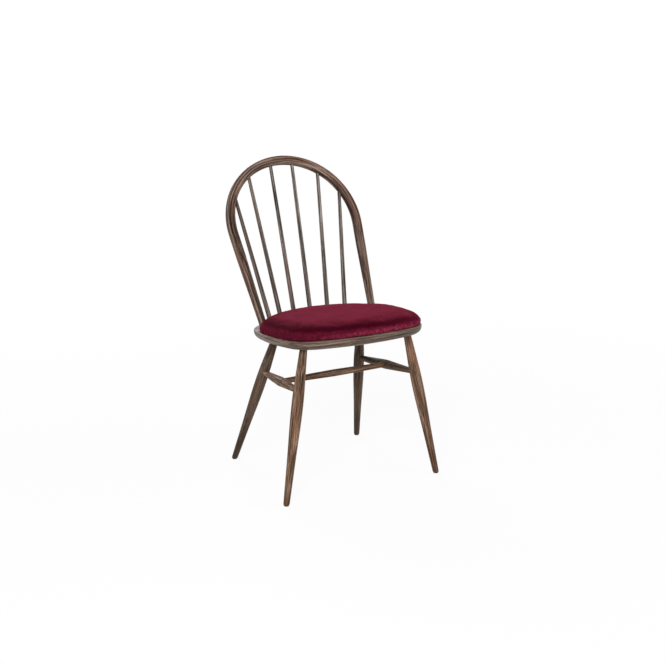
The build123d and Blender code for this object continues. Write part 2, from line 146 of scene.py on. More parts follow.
def srgb(red: int, green: int, blue: int) -> Colour:
    """Linear colour of a display colour.

    Args:
        red: display red, 0 to 255.
        green: display green, 0 to 255.
        blue: display blue, 0 to 255.

    Returns:
        The linear colour with full alpha.
    """
    linear = []
    for channel in (red, green, blue):
        share = channel / 255
        linear.append(share / 12.92 if share <= 0.04045 else ((share + 0.055) / 1.055) ** 2.4)
    return (*linear, 1.0)


@dataclass
class Wiring:
    """Adds nodes to one node tree and joins them.

    Attributes:
        tree: the tree that is being wired.
    """

    tree: Tree

    def put(self, target: Socket, value: object) -> None:
        """Links a socket to a value's socket, or sets a plain value.

        Args:
            target: the input socket.
            value: an output socket, a number, a vector or a colour.
        """
        if isinstance(value, Socket):
            self.tree.links.new(value, target)
        else:
            target.default_value = value

    def add(self, kind: str, *values: object, **settings: object) -> Node:
        """Adds a node.

        Args:
            kind: the node's Blender type name.
            *values: what goes into its first inputs, in order.
            **settings: attributes to set on it.

        Returns:
            The new node.
        """
        node = self.tree.nodes.new(kind)
        for name, value in settings.items():
            setattr(node, name, value)
        for target, value in zip(node.inputs, values):
            self.put(target, value)
        return node

    def feed(self, node: Node, **values: object) -> Node:
        """Feeds a node's inputs by their names.

        Args:
            node: the node.
            **values: what goes into each input, with underscores for spaces in its name.

        Returns:
            The same node.
        """
        for name, value in values.items():
            self.put(node.inputs[name.replace("_", " ")], value)
        return node

    def math(self, operation: str, *values: object, clamp: bool = False) -> Socket:
        """The result of a Math node, held between 0 and 1 where it is clamped."""
        return self.add("ShaderNodeMath", *values, operation=operation, use_clamp=clamp).outputs[0]

    def plus(self, first: object, *others: object) -> Socket:
        """The sum of two or more numbers.

        Args:
            first: the first of them.
            *others: the rest of them.

        Returns:
            Their sum.
        """
        for other in others:
            first = self.math("ADD", first, other)
        return first

    def times(self, first: object, *others: object, clamp: bool = False) -> Socket:
        """The product of two or more numbers.

        Args:
            first: the first of them.
            *others: the rest of them.
            clamp: whether it is held between 0 and 1.

        Returns:
            Their product.
        """
        for other in others:
            first = self.math("MULTIPLY", first, other, clamp=clamp)
        return first

    def minus(self, first: object, second: object) -> Socket:
        """One number less another."""
        return self.math("SUBTRACT", first, second)

    def rest(self, share: Socket) -> Socket:
        """What a share leaves of 1."""
        return self.minus(1.0, share)

    def span(self, share: Socket, start: float, end: float) -> Socket:
        """The number that lies a share of the way from one number to another."""
        return self.plus(start, self.times(share, end - start))

    def distance(self, x: Socket, y: Socket) -> Socket:
        """The length of a flat vector."""
        return self.math("SQRT", self.plus(self.times(x, x), self.times(y, y)))

    def vector(self, operation: str, *values: object, output: str = "Vector") -> Socket:
        """The result of a Vector Math node."""
        return self.add("ShaderNodeVectorMath", *values, operation=operation).outputs[output]

    def dot(self, first: object, second: object) -> Socket:
        """The dot product of two vectors."""
        return self.vector("DOT_PRODUCT", first, second, output="Value")

    def join(self, x: object, y: object, z: object) -> Socket:
        """A vector from three numbers."""
        return self.add("ShaderNodeCombineXYZ", x, y, z).outputs[0]

    def split(self, vector: Socket) -> tuple[Socket, Socket, Socket]:
        """The three numbers of a vector."""
        return tuple(self.add("ShaderNodeSeparateXYZ", vector).outputs)

    def ramp(self, value: Socket, low: float, high: float, smooth: bool = True) -> Socket:
        """Maps a range onto 0 to 1.

        Args:
            value: the number to map.
            low: what becomes 0.
            high: what becomes 1.
            smooth: whether it eases in and out.

        Returns:
            The mapped number.
        """
        ease = "SMOOTHSTEP" if smooth else "LINEAR"
        node = self.add("ShaderNodeMapRange", interpolation_type=ease)
        return self.feed(node, Value=value, From_Min=low, From_Max=high).outputs[0]

    def mix(self, share: object, first: object, second: object, blend: str = "MIX") -> Socket:
        """Mixes two colours.

        Args:
            share: how much of the second there is.
            first: the first colour.
            second: the second colour.
            blend: the blend type.

        Returns:
            The mixed colour.
        """
        node = self.add("ShaderNodeMix", data_type="RGBA", blend_type=blend)
        return self.feed(node, Factor=share, A=first, B=second).outputs["Result"]

    def shaded(self, colour: Socket, grey: Socket) -> Socket:
        """A colour times a number."""
        return self.mix(1.0, colour, self.join(grey, grey, grey), "MULTIPLY")

    def noise(self, place: Socket, scale: float, detail: float = 2.0, roughness: float = 0.5,
              distortion: float = 0.0) -> Socket:
        """Adds a noise.

        Args:
            place: the point that is looked up.
            scale: how often it changes in a metre.
            detail: its octaves.
            roughness: how strong the fine octaves are.
            distortion: how far it is warped.

        Returns:
            Its value.
        """
        node = self.add("ShaderNodeTexNoise")
        self.feed(node, Vector=place, Scale=scale, Detail=detail, Roughness=roughness, Distortion=distortion)
        return node.outputs[0]

    def group(self, effect: Effect, **values: object) -> Node:
        """Places a node group.

        Args:
            effect: which one.
            **values: what goes into its inputs, by their names.

        Returns:
            The group node.
        """
        node = self.add("ShaderNodeGroup", node_tree=bpy.data.node_groups[effect.value])
        return self.feed(node, **values)


class Group(Wiring):
    """A shader node group that is being wired.

    Attributes:
        entry: the node of what comes in.
        exit: the node of what goes out.
    """

    def __init__(self, effect: Effect, inputs: list[tuple[str, Kind, object]],
                 outputs: list[tuple[str, Kind]]) -> None:
        """Starts the group with its named inputs and outputs.

        Args:
            effect: which group it is.
            inputs: name, kind and first value of each input.
            outputs: name and kind of each output.
        """
        super().__init__(bpy.data.node_groups.new(effect.value, "ShaderNodeTree"))
        for name, kind, value in inputs:
            socket = self.tree.interface.new_socket(name=name, in_out="INPUT", socket_type=kind.value)
            if value is not None:
                socket.default_value = value
        for name, kind in outputs:
            self.tree.interface.new_socket(name=name, in_out="OUTPUT", socket_type=kind.value)
        self.entry = self.add("NodeGroupInput")
        self.exit = self.add("NodeGroupOutput")

    def __getitem__(self, name: str) -> Socket:
        """What comes in under a name."""
        return self.entry.outputs[name]


class Surface(Wiring):
    """A material that is being wired.

    Attributes:
        material: the material.
        shader: its Principled shader.
        place: the point of the object.
    """

    def __init__(self, name: str) -> None:
        """Starts the material.

        Args:
            name: its name.
        """
        self.material = bpy.data.materials.new(name)
        self.material.use_nodes = True
        super().__init__(self.material.node_tree)
        self.shader = self.tree.nodes["Principled BSDF"]
        self.place = self.add("ShaderNodeTexCoord").outputs["Object"]

    def facing(self, way: Vector) -> Socket:
        """How far the surface faces a way, from -1 to 1."""
        return self.dot(self.add("ShaderNodeTexCoord").outputs["Normal"], way)

    def bump(self, height: Socket, strength: float, distance: float) -> None:
        """Feeds a height to the shader's normal.

        Args:
            height: the height.
            strength: how strong the bump is.
            distance: the height of a step of 1, in metres.
        """
        node = self.feed(self.add("ShaderNodeBump"), Strength=strength, Distance=distance, Height=height)
        self.feed(self.shader, Normal=node.outputs[0])


@dataclass(frozen=True)
class Streaks:
    """One layer of streaks in wood that runs along X.

    Attributes:
        along: how often it changes in a metre along the grain.
        across: how often it changes in a metre across the grain.
        low: the value where the streaks start to show.
        high: the value where they are full.
        share: how much of the whole they make up.
        detail: the noise's octaves.
        roughness: how strong the fine octaves are.
    """

    along: float
    across: float
    low: float = 0.35
    high: float = 0.65
    share: float = 1.0
    detail: float = 2.0
    roughness: float = 0.5

    def at(self, w: Wiring, place: Socket) -> Socket:
        """The layer's plain value at a point of the wood."""
        stretched = w.vector("MULTIPLY", place, Vector((self.along, self.across, self.across)))
        return w.noise(stretched, 1.0, self.detail, self.roughness)

    def shown(self, w: Wiring, value: Socket) -> Socket:
        """How far the streaks show where the layer has a value."""
        return w.ramp(value, self.low, self.high)


class Effects:
    """The node groups that more than one material uses.

    Attributes:
        WAVER: the fibres' slow waver, and WAVER_DEPTH how far it moves them.
        RINGS: the growth rings.
        BROAD: the broad streaks.
        NARROW: the narrow streaks, and NARROW_RISE how far they stand up.
        FIBRE: the single fibres, with FIBRE_SHADES from the darkest to the palest and FIBRE_RISE as above.
        PORES: the open pores, and PORE_FALL how deep they are.
        PATCHES: the patches with a warmer colour.
        BODY_TONES: the tones where dark wood turns to its main colour.
        LIGHT_TONES: the tones where that turns pale.
        WARM_TONES: the tones that take the warmer colour.
        FILM_RANGE: the range over which the film's clouds go from smooth to rough.
        PORE_ROUGHNESS: how much rougher the film is over a pore.
        SCUFF_TURNS: how far the surface turns within the edge's width where the stain starts to go, and
            where it is gone.
        SCUFF_PATCHES: the range of the clouds that break up the scuffed edge.
    """

    WAVER = Streaks(5.0, 14.0)
    WAVER_DEPTH = 0.012
    RINGS = Streaks(2.0, 75.0, share=0.14)
    BROAD = Streaks(4.5, 240.0, 0.36, 0.64, 0.46, roughness=0.55)
    NARROW = Streaks(9.0, 620.0, 0.36, 0.66, 0.40, roughness=0.6)
    NARROW_RISE = 0.5
    FIBRE = Streaks(30.0, 1500.0, roughness=0.6)
    FIBRE_SHADES = (0.84, 1.16)
    FIBRE_RISE = 0.25
    PORES = Streaks(90.0, 2200.0, 0.60, 0.70, 0.6, detail=1.0)
    PORE_FALL = 0.6
    PATCHES = Streaks(3.2, 26.0, 0.48, 0.66, 0.65)
    BODY_TONES = (0.10, 0.52)
    LIGHT_TONES = (0.52, 0.88)
    WARM_TONES = (0.25, 0.75)
    FILM_RANGE = (0.35, 0.65)
    PORE_ROUGHNESS = 0.12
    SCUFF_TURNS = (0.01, 0.12)
    SCUFF_PATCHES = (0.42, 0.62)

    def build(self) -> None:
        """Builds every group once."""
        self.stained_grain()
        self.lacquer_film()
        self.edge_scuff()

    def stained_grain(self) -> None:
        """Long grain with rings, fibres and pores. Its place has X along the grain, in metres."""
        w = Group(
            Effect.GRAIN,
            [
                ("Place", Kind.VECTOR, None),
                ("Dark", Kind.COLOR, (0.03, 0.02, 0.015, 1)),
                ("Body", Kind.COLOR, (0.09, 0.055, 0.04, 1)),
                ("Light", Kind.COLOR, (0.2, 0.12, 0.08, 1)),
                ("Warmth", Kind.COLOR, (0.2, 0.07, 0.03, 1)),
                ("Figure", Kind.FLOAT, 1.0),
                ("Fineness", Kind.FLOAT, 1.0),
                ("Shift", Kind.FLOAT, 0.0),
            ],
            [("Color", Kind.COLOR), ("Height", Kind.FLOAT), ("Pores", Kind.FLOAT)],
        )
        x, y, z = w.split(w["Place"])
        x = w.plus(x, w["Shift"])
        y = w.plus(w.times(y, w["Fineness"]), w["Shift"])
        z = w.times(z, w["Fineness"])
        moved = w.join(x, y, z)
        # Slow waver of the fibres, so that no streak runs quite straight
        waver = w.times(w.minus(self.WAVER.at(w, moved), 0.5), self.WAVER_DEPTH)
        fibres = w.join(x, w.plus(y, waver), w.minus(z, waver))
        broad, narrow, rings, fibre, pores = (
            layer.at(w, fibres) for layer in (self.BROAD, self.NARROW, self.RINGS, self.FIBRE, self.PORES)
        )
        layers = ((self.BROAD, broad), (self.NARROW, narrow), (self.RINGS, rings))
        tone = w.plus(*(w.times(layer.shown(w, value), layer.share) for layer, value in layers))
        pores = self.PORES.shown(w, pores)
        patches = self.PATCHES.shown(w, self.PATCHES.at(w, moved))
        colour = w.mix(w.ramp(tone, *self.BODY_TONES), w["Dark"], w["Body"])
        pale = w.times(w.ramp(tone, *self.LIGHT_TONES), w["Figure"], clamp=True)
        colour = w.mix(pale, colour, w["Light"])
        warm = w.times(patches, w.ramp(tone, *self.WARM_TONES), self.PATCHES.share)
        colour = w.shaded(w.mix(warm, colour, w["Warmth"]), w.span(fibre, *self.FIBRE_SHADES))
        colour = w.mix(w.times(pores, self.PORES.share), colour, w["Dark"])
        raised = w.plus(w.times(narrow, self.NARROW_RISE), w.times(fibre, self.FIBRE_RISE))
        w.feed(w.exit, Color=colour, Height=w.minus(raised, w.times(pores, self.PORE_FALL)), Pores=pores)

    def lacquer_film(self) -> None:
        """Uneven roughness of a thin wiped-on satin film."""
        w = Group(
            Effect.FILM,
            [
                ("Place", Kind.VECTOR, None),
                ("Low", Kind.FLOAT, 0.3),
                ("High", Kind.FLOAT, 0.5),
                ("Pores", Kind.FLOAT, 0.0),
            ],
            [("Roughness", Kind.FLOAT), ("Height", Kind.FLOAT)],
        )
        cloudy = w.noise(w["Place"], scale=28.0, detail=3.0, roughness=0.6)
        fine = w.noise(w["Place"], scale=420.0)
        share = w.ramp(w.plus(w.times(cloudy, 0.7), w.times(fine, 0.3)), *self.FILM_RANGE)
        rough = w.plus(w["Low"], w.times(w.minus(w["High"], w["Low"]), share))
        rough = w.plus(rough, w.times(w["Pores"], self.PORE_ROUGHNESS))
        w.feed(w.exit, Roughness=rough, Height=w.plus(w.times(cloudy, 0.4), w.times(fine, 0.2)))

    def edge_scuff(self) -> None:
        """Where stain is rubbed thin along edges."""
        w = Group(
            Effect.SCUFF,
            [("Place", Kind.VECTOR, None), ("Width", Kind.FLOAT, 0.002), ("Amount", Kind.FLOAT, 0.5)],
            [("Mask", Kind.FLOAT)],
        )
        bevel = w.feed(w.add("ShaderNodeBevel", samples=4), Radius=w["Width"])
        normal = w.add("ShaderNodeNewGeometry").outputs["Normal"]
        turn = w.rest(w.dot(bevel.outputs[0], normal))
        patches = w.noise(w["Place"], scale=60.0, detail=4.0, roughness=0.65)
        worn = w.times(w.ramp(turn, *self.SCUFF_TURNS), w.ramp(patches, *self.SCUFF_PATCHES))
        w.feed(w.exit, Mask=w.times(worn, w["Amount"], clamp=True))


@dataclass(frozen=True)
class StraightGrain:
    """Grain along one line, as in a turned piece.

    Attributes:
        along: the way that it runs.
    """

    along: Vector

    def place(self, w: Surface) -> Socket:
        """Turns the point so that its X lies along the grain.

        Args:
            w: the material.

        Returns:
            The turned point.
        """
        first = self.along.normalized()
        second = first.orthogonal().normalized()
        return w.join(w.dot(w.place, first), w.dot(w.place, second), w.dot(w.place, first.cross(second)))


@dataclass(frozen=True)
class FlatGrain:
    """Grain along one line with its rings nearly level with a face, as in a flat-sawn board.

    Attributes:
        along: the way that it runs.
        face: the way up from the board's face.
        spread: how much slower the rings change across the face than through it.
        edge_share: how much slower still they change round the board's edge.
        edge_facing: how far a face is turned up where that starts to fade, and where it is gone.
    """

    along: Vector
    face: Vector
    spread: float = 0.14
    edge_share: float = 0.28
    edge_facing: Span = (0.45, 0.97)

    def place(self, w: Surface) -> Socket:
        """Turns the point so that its X lies along the grain and its Z through the board.

        Args:
            w: the material.

        Returns:
            The turned point.
        """
        across = self.face.cross(self.along).normalized()
        level = w.ramp(w.math("ABSOLUTE", w.facing(self.face)), *self.edge_facing)
        aside = w.times(w.dot(w.place, across * self.spread), w.span(level, self.edge_share, 1.0))
        return w.join(w.dot(w.place, self.along.normalized()), aside, w.dot(w.place, self.face))


@dataclass(frozen=True)
class BentGrain:
    """Grain that follows the bow: up a straight limb and round its shoulder to the top.

    Attributes:
        foot: the point midway between the bow's feet.
        up: the way up in the bow's plane.
        aside: how far the shoulder's centre is from the middle.
        rise: how high the shoulder's centre is over the feet.
        radius: the shoulder's radius.
        limb: the limb's slope, in degrees from level.
        crown: the line's length from the shoulder's foot to the top.
    """

    foot: Vector
    up: Vector
    aside: float = 0.0095
    rise: float = 0.2923
    radius: float = 0.190
    limb: float = 84.86
    crown: float = 0.3248

    def place(self, w: Surface) -> Socket:
        """Unrolls the point so that its X is its way along the bow from the top.

        Args:
            w: the material.

        Returns:
            The unrolled point.
        """
        flat = w.vector("SUBTRACT", w.place, self.foot)
        aside = w.dot(flat, SIDEWAYS)
        x = w.minus(w.math("ABSOLUTE", aside), self.aside)
        y = w.minus(w.dot(flat, self.up), self.rise)
        level, steep = math.cos(math.radians(self.limb)), math.sin(math.radians(self.limb))
        along = w.plus(w.times(x, level), w.times(y, steep))
        off = w.minus(w.times(x, steep), w.times(y, level))
        above = w.math("MAXIMUM", along, 0.0)
        turned = w.times(w.math("ARCTAN2", above, off), self.radius)
        length = w.minus(self.crown, w.plus(turned, w.math("MINIMUM", along, 0.0)))
        depth = w.dot(flat, SIDEWAYS.cross(self.up))
        outward = w.minus(w.distance(off, above), self.radius)
        return w.join(w.times(length, w.math("SIGN", aside)), outward, depth)


Run = StraightGrain | FlatGrain | BentGrain


@dataclass(frozen=True)
class StainedWood:
    """Dark stained hardwood under a satin film.

    Attributes:
        dark: the colour in the open grain.
        body: the main colour.
        light: the colour of the pale streaks.
        warmth: the colour of the reddish streaks.
        figure: how strong the streaks are.
        fineness: how narrow the streaks are.
        low: the smoothest film.
        high: the roughest film.
        gloss: the shader's specular level.
        relief: how strong the grain's bump is.
        grain_depth: the height of the grain's bump.
        film_share: how much of that the film's own bump makes up.
        scuff_width: how wide an edge is rubbed.
        scuff_share: how much of the stain is rubbed off there.
        floor_shade: how far painted shade darkens the wood towards the floor.
        floor_shade_heights: the height under which that painted shade is darkest, and where it ends.
    """

    dark: Colour
    body: Colour
    light: Colour
    warmth: Colour
    figure: float = 0.8
    fineness: float = 1.0
    low: float = 0.38
    high: float = 0.56
    gloss: float = 0.08
    relief: float = 0.35
    grain_depth: float = 0.0003
    film_share: float = 0.4
    scuff_width: float = 0.0015
    scuff_share: float = 0.35
    floor_shade: float = 0.45
    floor_shade_heights: Span = (0.01, 0.13)

    def material(self, name: str, run: Run, shift: float) -> bpy.types.Material:
        """Builds the finish for one piece.

        Args:
            name: the material's name.
            run: how the grain lies in the piece.
            shift: where in the wood the piece is cut, so that no two look alike.

        Returns:
            The material.
        """
        w = Surface(name)
        wood = w.group(
            Effect.GRAIN, Place=run.place(w), Dark=self.dark, Body=self.body, Light=self.light,
            Warmth=self.warmth, Figure=self.figure, Fineness=self.fineness, Shift=shift,
        )
        film = w.group(Effect.FILM, Place=w.place, Low=self.low, High=self.high, Pores=wood.outputs["Pores"])
        scuff = w.group(Effect.SCUFF, Place=w.place, Width=self.scuff_width, Amount=self.scuff_share)
        colour = w.mix(scuff.outputs["Mask"], wood.outputs["Color"], self.light)
        # Painted shade: the wood is darkened towards the floor
        floor_shade_mask = w.rest(w.ramp(w.dot(w.place, UPWARDS), *self.floor_shade_heights))
        colour = w.mix(w.times(floor_shade_mask, self.floor_shade), colour, self.dark)
        rough = film.outputs["Roughness"]
        w.feed(w.shader, Base_Color=colour, Roughness=rough, Specular_IOR_Level=self.gloss)
        height = w.plus(wood.outputs["Height"], w.times(film.outputs["Height"], self.film_share))
        w.bump(height, self.relief, self.grain_depth)
        return w.material


@dataclass(frozen=True)
class Pile:
    """How the velvet's pile lies at a point.

    Attributes:
        lift: the point's height off the seat.
        level: that height as a share of the pad's, moved up or down by the brushed noise; it places the
            painted shade band and the painted side.
        crushed: the crush marks.
        nap: the tufts.
        specks: the tips.
        lay: how flat it lies.
        lit_facing: how far it faces the lean, from 0 to 1, which sets how much painted light it takes.
        fold: 1 on a fold of the cloth, where light is painted.
        crease: 1 in a crease between folds, where shade is painted.
    """

    lift: Socket
    level: Socket
    crushed: Socket
    nap: Socket
    specks: Socket
    lay: Socket
    lit_facing: Socket
    fold: Socket
    crease: Socket


@dataclass(frozen=True)
class Velvet:
    """Short dense pile that is dark face on and pale at a glancing angle.

    Attributes:
        deep: the colour of the painted shade in the band round the top, on the lower side, along the tucked
            edge and in the creases.
        body: the main colour.
        crown: the colour of the top where the pile lies flat.
        bright: the colour of the painted light on the side's crush marks and on the folds.
        sheen: the colour of the pile's rim.
        rubbed: the colour of the painted sheen on the bent pile tips along the foot.
        lean: the way that the painted light on the velvet favours: faces turned that way are painted
            brighter, faces turned from it darker.
        lean_facing: how far a face is turned that way where its painted light starts, and where it is full.
        tall: how the crush marks and tufts are stretched.
        brushed_share: how far the brushed noise moves the level, and with it the edges of the painted shade
            and light, as a share of the pad's height.
        level_slope: how much the level rises for each metre towards the sitter's left, so that the painted
            shade band and side sit lower there.
        lay_range: how flat the pile lies where it starts to take the crown's colour, and where it has it.
        side_levels: the level up to which the side's painted shade and light are full, and where they end.
        side_shade: how much painted shade, in the deep colour, darkens the lower side.
        side_marks: the crush marks' range from no painted light to full.
        lit_away: how much of its painted light the side keeps where it faces away from the lean.
        band_levels: where the painted shade band round the top starts and is full.
        top_levels: where that band starts to end and is gone.
        band_way: how far to the sitter's right of the middle the painted shade band starts to darken, and is
            darkest.
        band_depths: how dark that painted shade is before and after that.
        foot_heights: the height up to which the painted sheen on the bent tips is full, and where that ends.
        foot_tufts: the tufts' range from no painted sheen to full.
        foot_sheen_share: how strong the painted sheen on the bent tips is.
        fold_share: how far painted light brightens a fold of the cloth.
        tuck_heights: the height up to which painted shade darkens the tucked edge at the seat, and where
            that ends.
        tuck_shade: how much painted shade, in the deep colour, that edge and the creases take.
        crease_shade: how far painted shade darkens a crease.
        tip_shades: how dark and how pale the tips are.
        tuft_shades: how dark and how pale the tufts are.
        roughness: the roughness where the pile stands, and where it lies flat.
        sheen_weight: how strong the rim is.
        sheen_roughness: how wide the rim is.
        gloss: the shader's specular level.
        relief: how strong the pile's bump is.
        pile_depth: the height of the pile's bump.
    """

    # The deep, bright and rubbed colours are painted shade, painted light and painted sheen.
    deep: Colour
    body: Colour
    crown: Colour
    bright: Colour
    sheen: Colour
    rubbed: Colour
    lean: Point = (0.55, -0.835, 0.0)
    lean_facing: Span = (0.54, 0.84)
    tall: Point = (1.0, 1.0, 0.45)
    brushed_share: float = 0.34
    level_slope: float = 0.5
    lay_range: Span = (0.36, 0.64)
    side_levels: Span = (0.26, 0.62)
    side_shade: float = 0.74
    side_marks: Span = (0.31, 0.69)
    lit_away: float = 0.22
    band_levels: Span = (0.30, 0.60)
    top_levels: Span = (0.70, 1.0)
    band_way: Span = (-0.19, -0.02)
    band_depths: Span = (0.68, 0.96)
    foot_heights: Span = (0.0015, 0.007)
    foot_tufts: Span = (0.5, 0.62)
    foot_sheen_share: float = 0.5
    fold_share: float = 0.28
    tuck_heights: Span = (0.0006, 0.0022)
    tuck_shade: float = 0.85
    crease_shade: float = 0.6
    tip_shades: Span = (0.76, 1.24)
    tuft_shades: Span = (0.9, 1.1)
    roughness: Span = (0.75, 0.95)
    sheen_weight: float = 0.22
    sheen_roughness: float = 0.4
    gloss: float = 0.03
    relief: float = 0.8
    pile_depth: float = 0.0012

    def pile(self, w: Surface, top: Vector, normal: Vector, height: float) -> Pile:
        """Lays the pile.

        Args:
            w: the material.
            top: a point on the plane that the pad rests on.
            normal: the way up from that plane.
            height: the pad's height.

        Returns:
            How it lies.
        """
        lift = w.dot(w.vector("SUBTRACT", w.place, top), normal)
        upright = w.vector("MULTIPLY", w.place, Vector(self.tall))
        brushed = w.noise(w.place, scale=24.0, detail=3.0, roughness=0.55, distortion=0.6)
        crushed = w.noise(upright, scale=105.0, detail=3.0, roughness=0.6, distortion=0.3)
        nap = w.noise(upright, scale=300.0, detail=3.0, roughness=0.65, distortion=0.2)
        fold = w.add("ShaderNodeAttribute", attribute_name=FOLD).outputs["Fac"]
        return Pile(
            lift=lift,
            level=w.plus(
                w.math("DIVIDE", lift, height),
                w.times(w.minus(brushed, 0.5), self.brushed_share),
                w.dot(w.place, SIDEWAYS * self.level_slope),
            ),
            crushed=crushed,
            nap=nap,
            specks=w.noise(w.place, scale=1500.0, roughness=0.65),
            lay=w.plus(w.times(brushed, 0.5), w.times(crushed, 0.3), w.times(nap, 0.2)),
            # How far a face is turned to the lean: the mask for the painted light on the side and along the
            # foot
            lit_facing=w.ramp(w.facing(Vector(self.lean)), *self.lean_facing),
            # Masks for the painted light on the folds and the painted shade in the creases
            fold=w.math("MAXIMUM", fold, 0.0),
            crease=w.math("MAXIMUM", w.times(fold, -1.0), 0.0),
        )

    def painted_band_and_side(self, w: Surface, pile: Pile) -> Socket:
        """Colours the top, paints shade in a band round it and on the lower side, and paints light on the
        side's crush marks.

        Args:
            w: the material.
            pile: how the pile lies.

        Returns:
            The colour.
        """
        # Painted shade: the lower side and a band round the top take the deep colour
        side = w.rest(w.ramp(pile.level, *self.side_levels))
        band = w.times(w.ramp(pile.level, *self.band_levels), w.rest(w.ramp(pile.level, *self.top_levels)))
        darker = w.span(w.ramp(w.dot(w.place, -SIDEWAYS), *self.band_way), *self.band_depths)
        colour = w.mix(w.ramp(pile.lay, *self.lay_range), self.body, self.crown)
        colour = w.mix(w.times(band, darker), colour, self.deep)
        colour = w.mix(w.times(side, self.side_shade), colour, self.deep)
        # Painted light: the side's crush marks, brightest where they face the lean
        marks = w.ramp(w.plus(w.times(pile.crushed, 0.6), w.times(pile.nap, 0.4)), *self.side_marks)
        lit = w.times(side, marks, w.span(pile.lit_facing, self.lit_away, 1.0))
        return w.mix(lit, colour, self.bright)

    def foot_colour(self, w: Surface, pile: Pile, colour: Socket) -> Socket:
        """Adds painted sheen on the bent tips along the foot, painted light on the folds and painted shade
        along the tucked edge and in the creases, then the tufts all over.

        Args:
            w: the material.
            pile: how the pile lies.
            colour: the colour so far.

        Returns:
            The finished colour.
        """
        # Painted sheen on the bent pile tips along the foot, where they face the lean
        foot = w.rest(w.ramp(pile.lift, *self.foot_heights))
        tips = w.times(foot, w.ramp(pile.nap, *self.foot_tufts), pile.lit_facing, self.foot_sheen_share)
        colour = w.mix(tips, colour, self.rubbed)
        # Painted light on the folds
        colour = w.mix(w.times(pile.fold, self.fold_share), colour, self.bright)
        # Painted shade along the tucked edge at the seat and in the creases
        tucked = w.math("MAXIMUM", w.rest(w.ramp(pile.lift, *self.tuck_heights)), pile.crease)
        colour = w.mix(w.times(tucked, self.tuck_shade), colour, self.deep)
        # The tips' and tufts' own tone, and painted shade in the creases
        shade = w.times(
            w.span(w.ramp(pile.specks, 0.3, 0.7), *self.tip_shades),
            w.span(w.ramp(pile.nap, 0.34, 0.66), *self.tuft_shades),
            w.span(pile.crease, 1.0, self.crease_shade),
        )
        return w.shaded(colour, shade)

    def material(self, name: str, top: Vector, normal: Vector, height: float) -> bpy.types.Material:
        """Builds the velvet.

        Args:
            name: the material's name.
            top: a point on the plane that the pad rests on.
            normal: the way up from that plane.
            height: the pad's height.

        Returns:
            The material.
        """
        w = Surface(name)
        pile = self.pile(w, top, normal, height)
        w.feed(
            w.shader,
            Base_Color=self.foot_colour(w, pile, self.painted_band_and_side(w, pile)),
            Roughness=w.span(pile.lay, *self.roughness),
            Specular_IOR_Level=self.gloss,
            Sheen_Weight=self.sheen_weight,
            Sheen_Roughness=self.sheen_roughness,
            Sheen_Tint=self.sheen,
        )
        w.bump(w.plus(w.times(pile.specks, 0.35), w.times(pile.nap, 0.6)), self.relief, self.pile_depth)
        return w.material


@dataclass(frozen=True)
class Plywood:
    """Bare plywood whose layers show at its edge.

    Attributes:
        pale: the colour of the face veneer.
        dark: the colour of the crossed layers.
        layer: the thickness of one layer.
        grain: its streaks.
    """

    pale: Colour
    dark: Colour
    layer: float = 0.0015
    grain: Streaks = Streaks(12.0, 300.0, 0.4, 0.7, 0.4, 3.0, 0.6)

    def material(self, name: str, normal: Vector) -> bpy.types.Material:
        """Builds the plywood.

        Args:
            name: the material's name.
            normal: the way up through its layers.

        Returns:
            The material.
        """
        w = Surface(name)
        layers = w.math("SINE", w.times(w.dot(w.place, normal), math.pi / self.layer))
        grain = self.grain.at(w, w.place)
        colour = w.mix(w.ramp(layers, -0.2, 0.2), self.pale, self.dark)
        colour = w.mix(w.times(self.grain.shown(w, grain), self.grain.share), colour, self.dark)
        w.feed(w.shader, Base_Color=colour, Roughness=w.ramp(grain, -0.6, 1.2, smooth=False))
        w.bump(grain, 0.3, 0.0003)
        return w.material


@dataclass(frozen=True)
class BareMetal:
    """Plain drawn steel with a faint tarnish.

    Attributes:
        bright: the colour of the clean metal.
        dull: the colour of the tarnish.
    """

    bright: Colour
    dull: Colour

    def material(self, name: str) -> bpy.types.Material:
        """Builds the metal.

        Args:
            name: the material's name.

        Returns:
            The material.
        """
        w = Surface(name)
        tarnish = w.noise(w.place, scale=320.0, detail=4.0, roughness=0.6)
        colour = w.mix(w.ramp(tarnish, 0.4, 0.65), self.bright, self.dull)
        w.feed(w.shader, Base_Color=colour, Roughness=w.span(tarnish, 0.22, 0.52), Metallic=1.0)
        w.bump(w.noise(w.place, scale=2500.0), 0.15, 0.0001)
        return w.material


@dataclass(frozen=True)
class Moulded:
    """Matt moulded plastic, scuffed where it slides.

    Attributes:
        body: the main colour.
        worn: the colour where it is scuffed.
        sliding_height: the height up to which it is scuffed most.
    """

    body: Colour
    worn: Colour
    sliding_height: float = 0.0015

    def material(self, name: str) -> bpy.types.Material:
        """Builds the plastic.

        Args:
            name: the material's name.

        Returns:
            The material.
        """
        w = Surface(name)
        patches = w.noise(w.place, scale=180.0, detail=4.0, roughness=0.65)
        low = w.rest(w.ramp(w.dot(w.place, UPWARDS), 0.0, self.sliding_height))
        share = w.times(w.ramp(patches, 0.4, 0.65), w.span(low, 0.2, 0.8))
        w.feed(w.shader, Base_Color=w.mix(share, self.body, self.worn), Roughness=w.span(patches, 0.45, 0.7))
        w.bump(w.noise(w.place, scale=1800.0), 0.2, 0.0001)
        return w.material


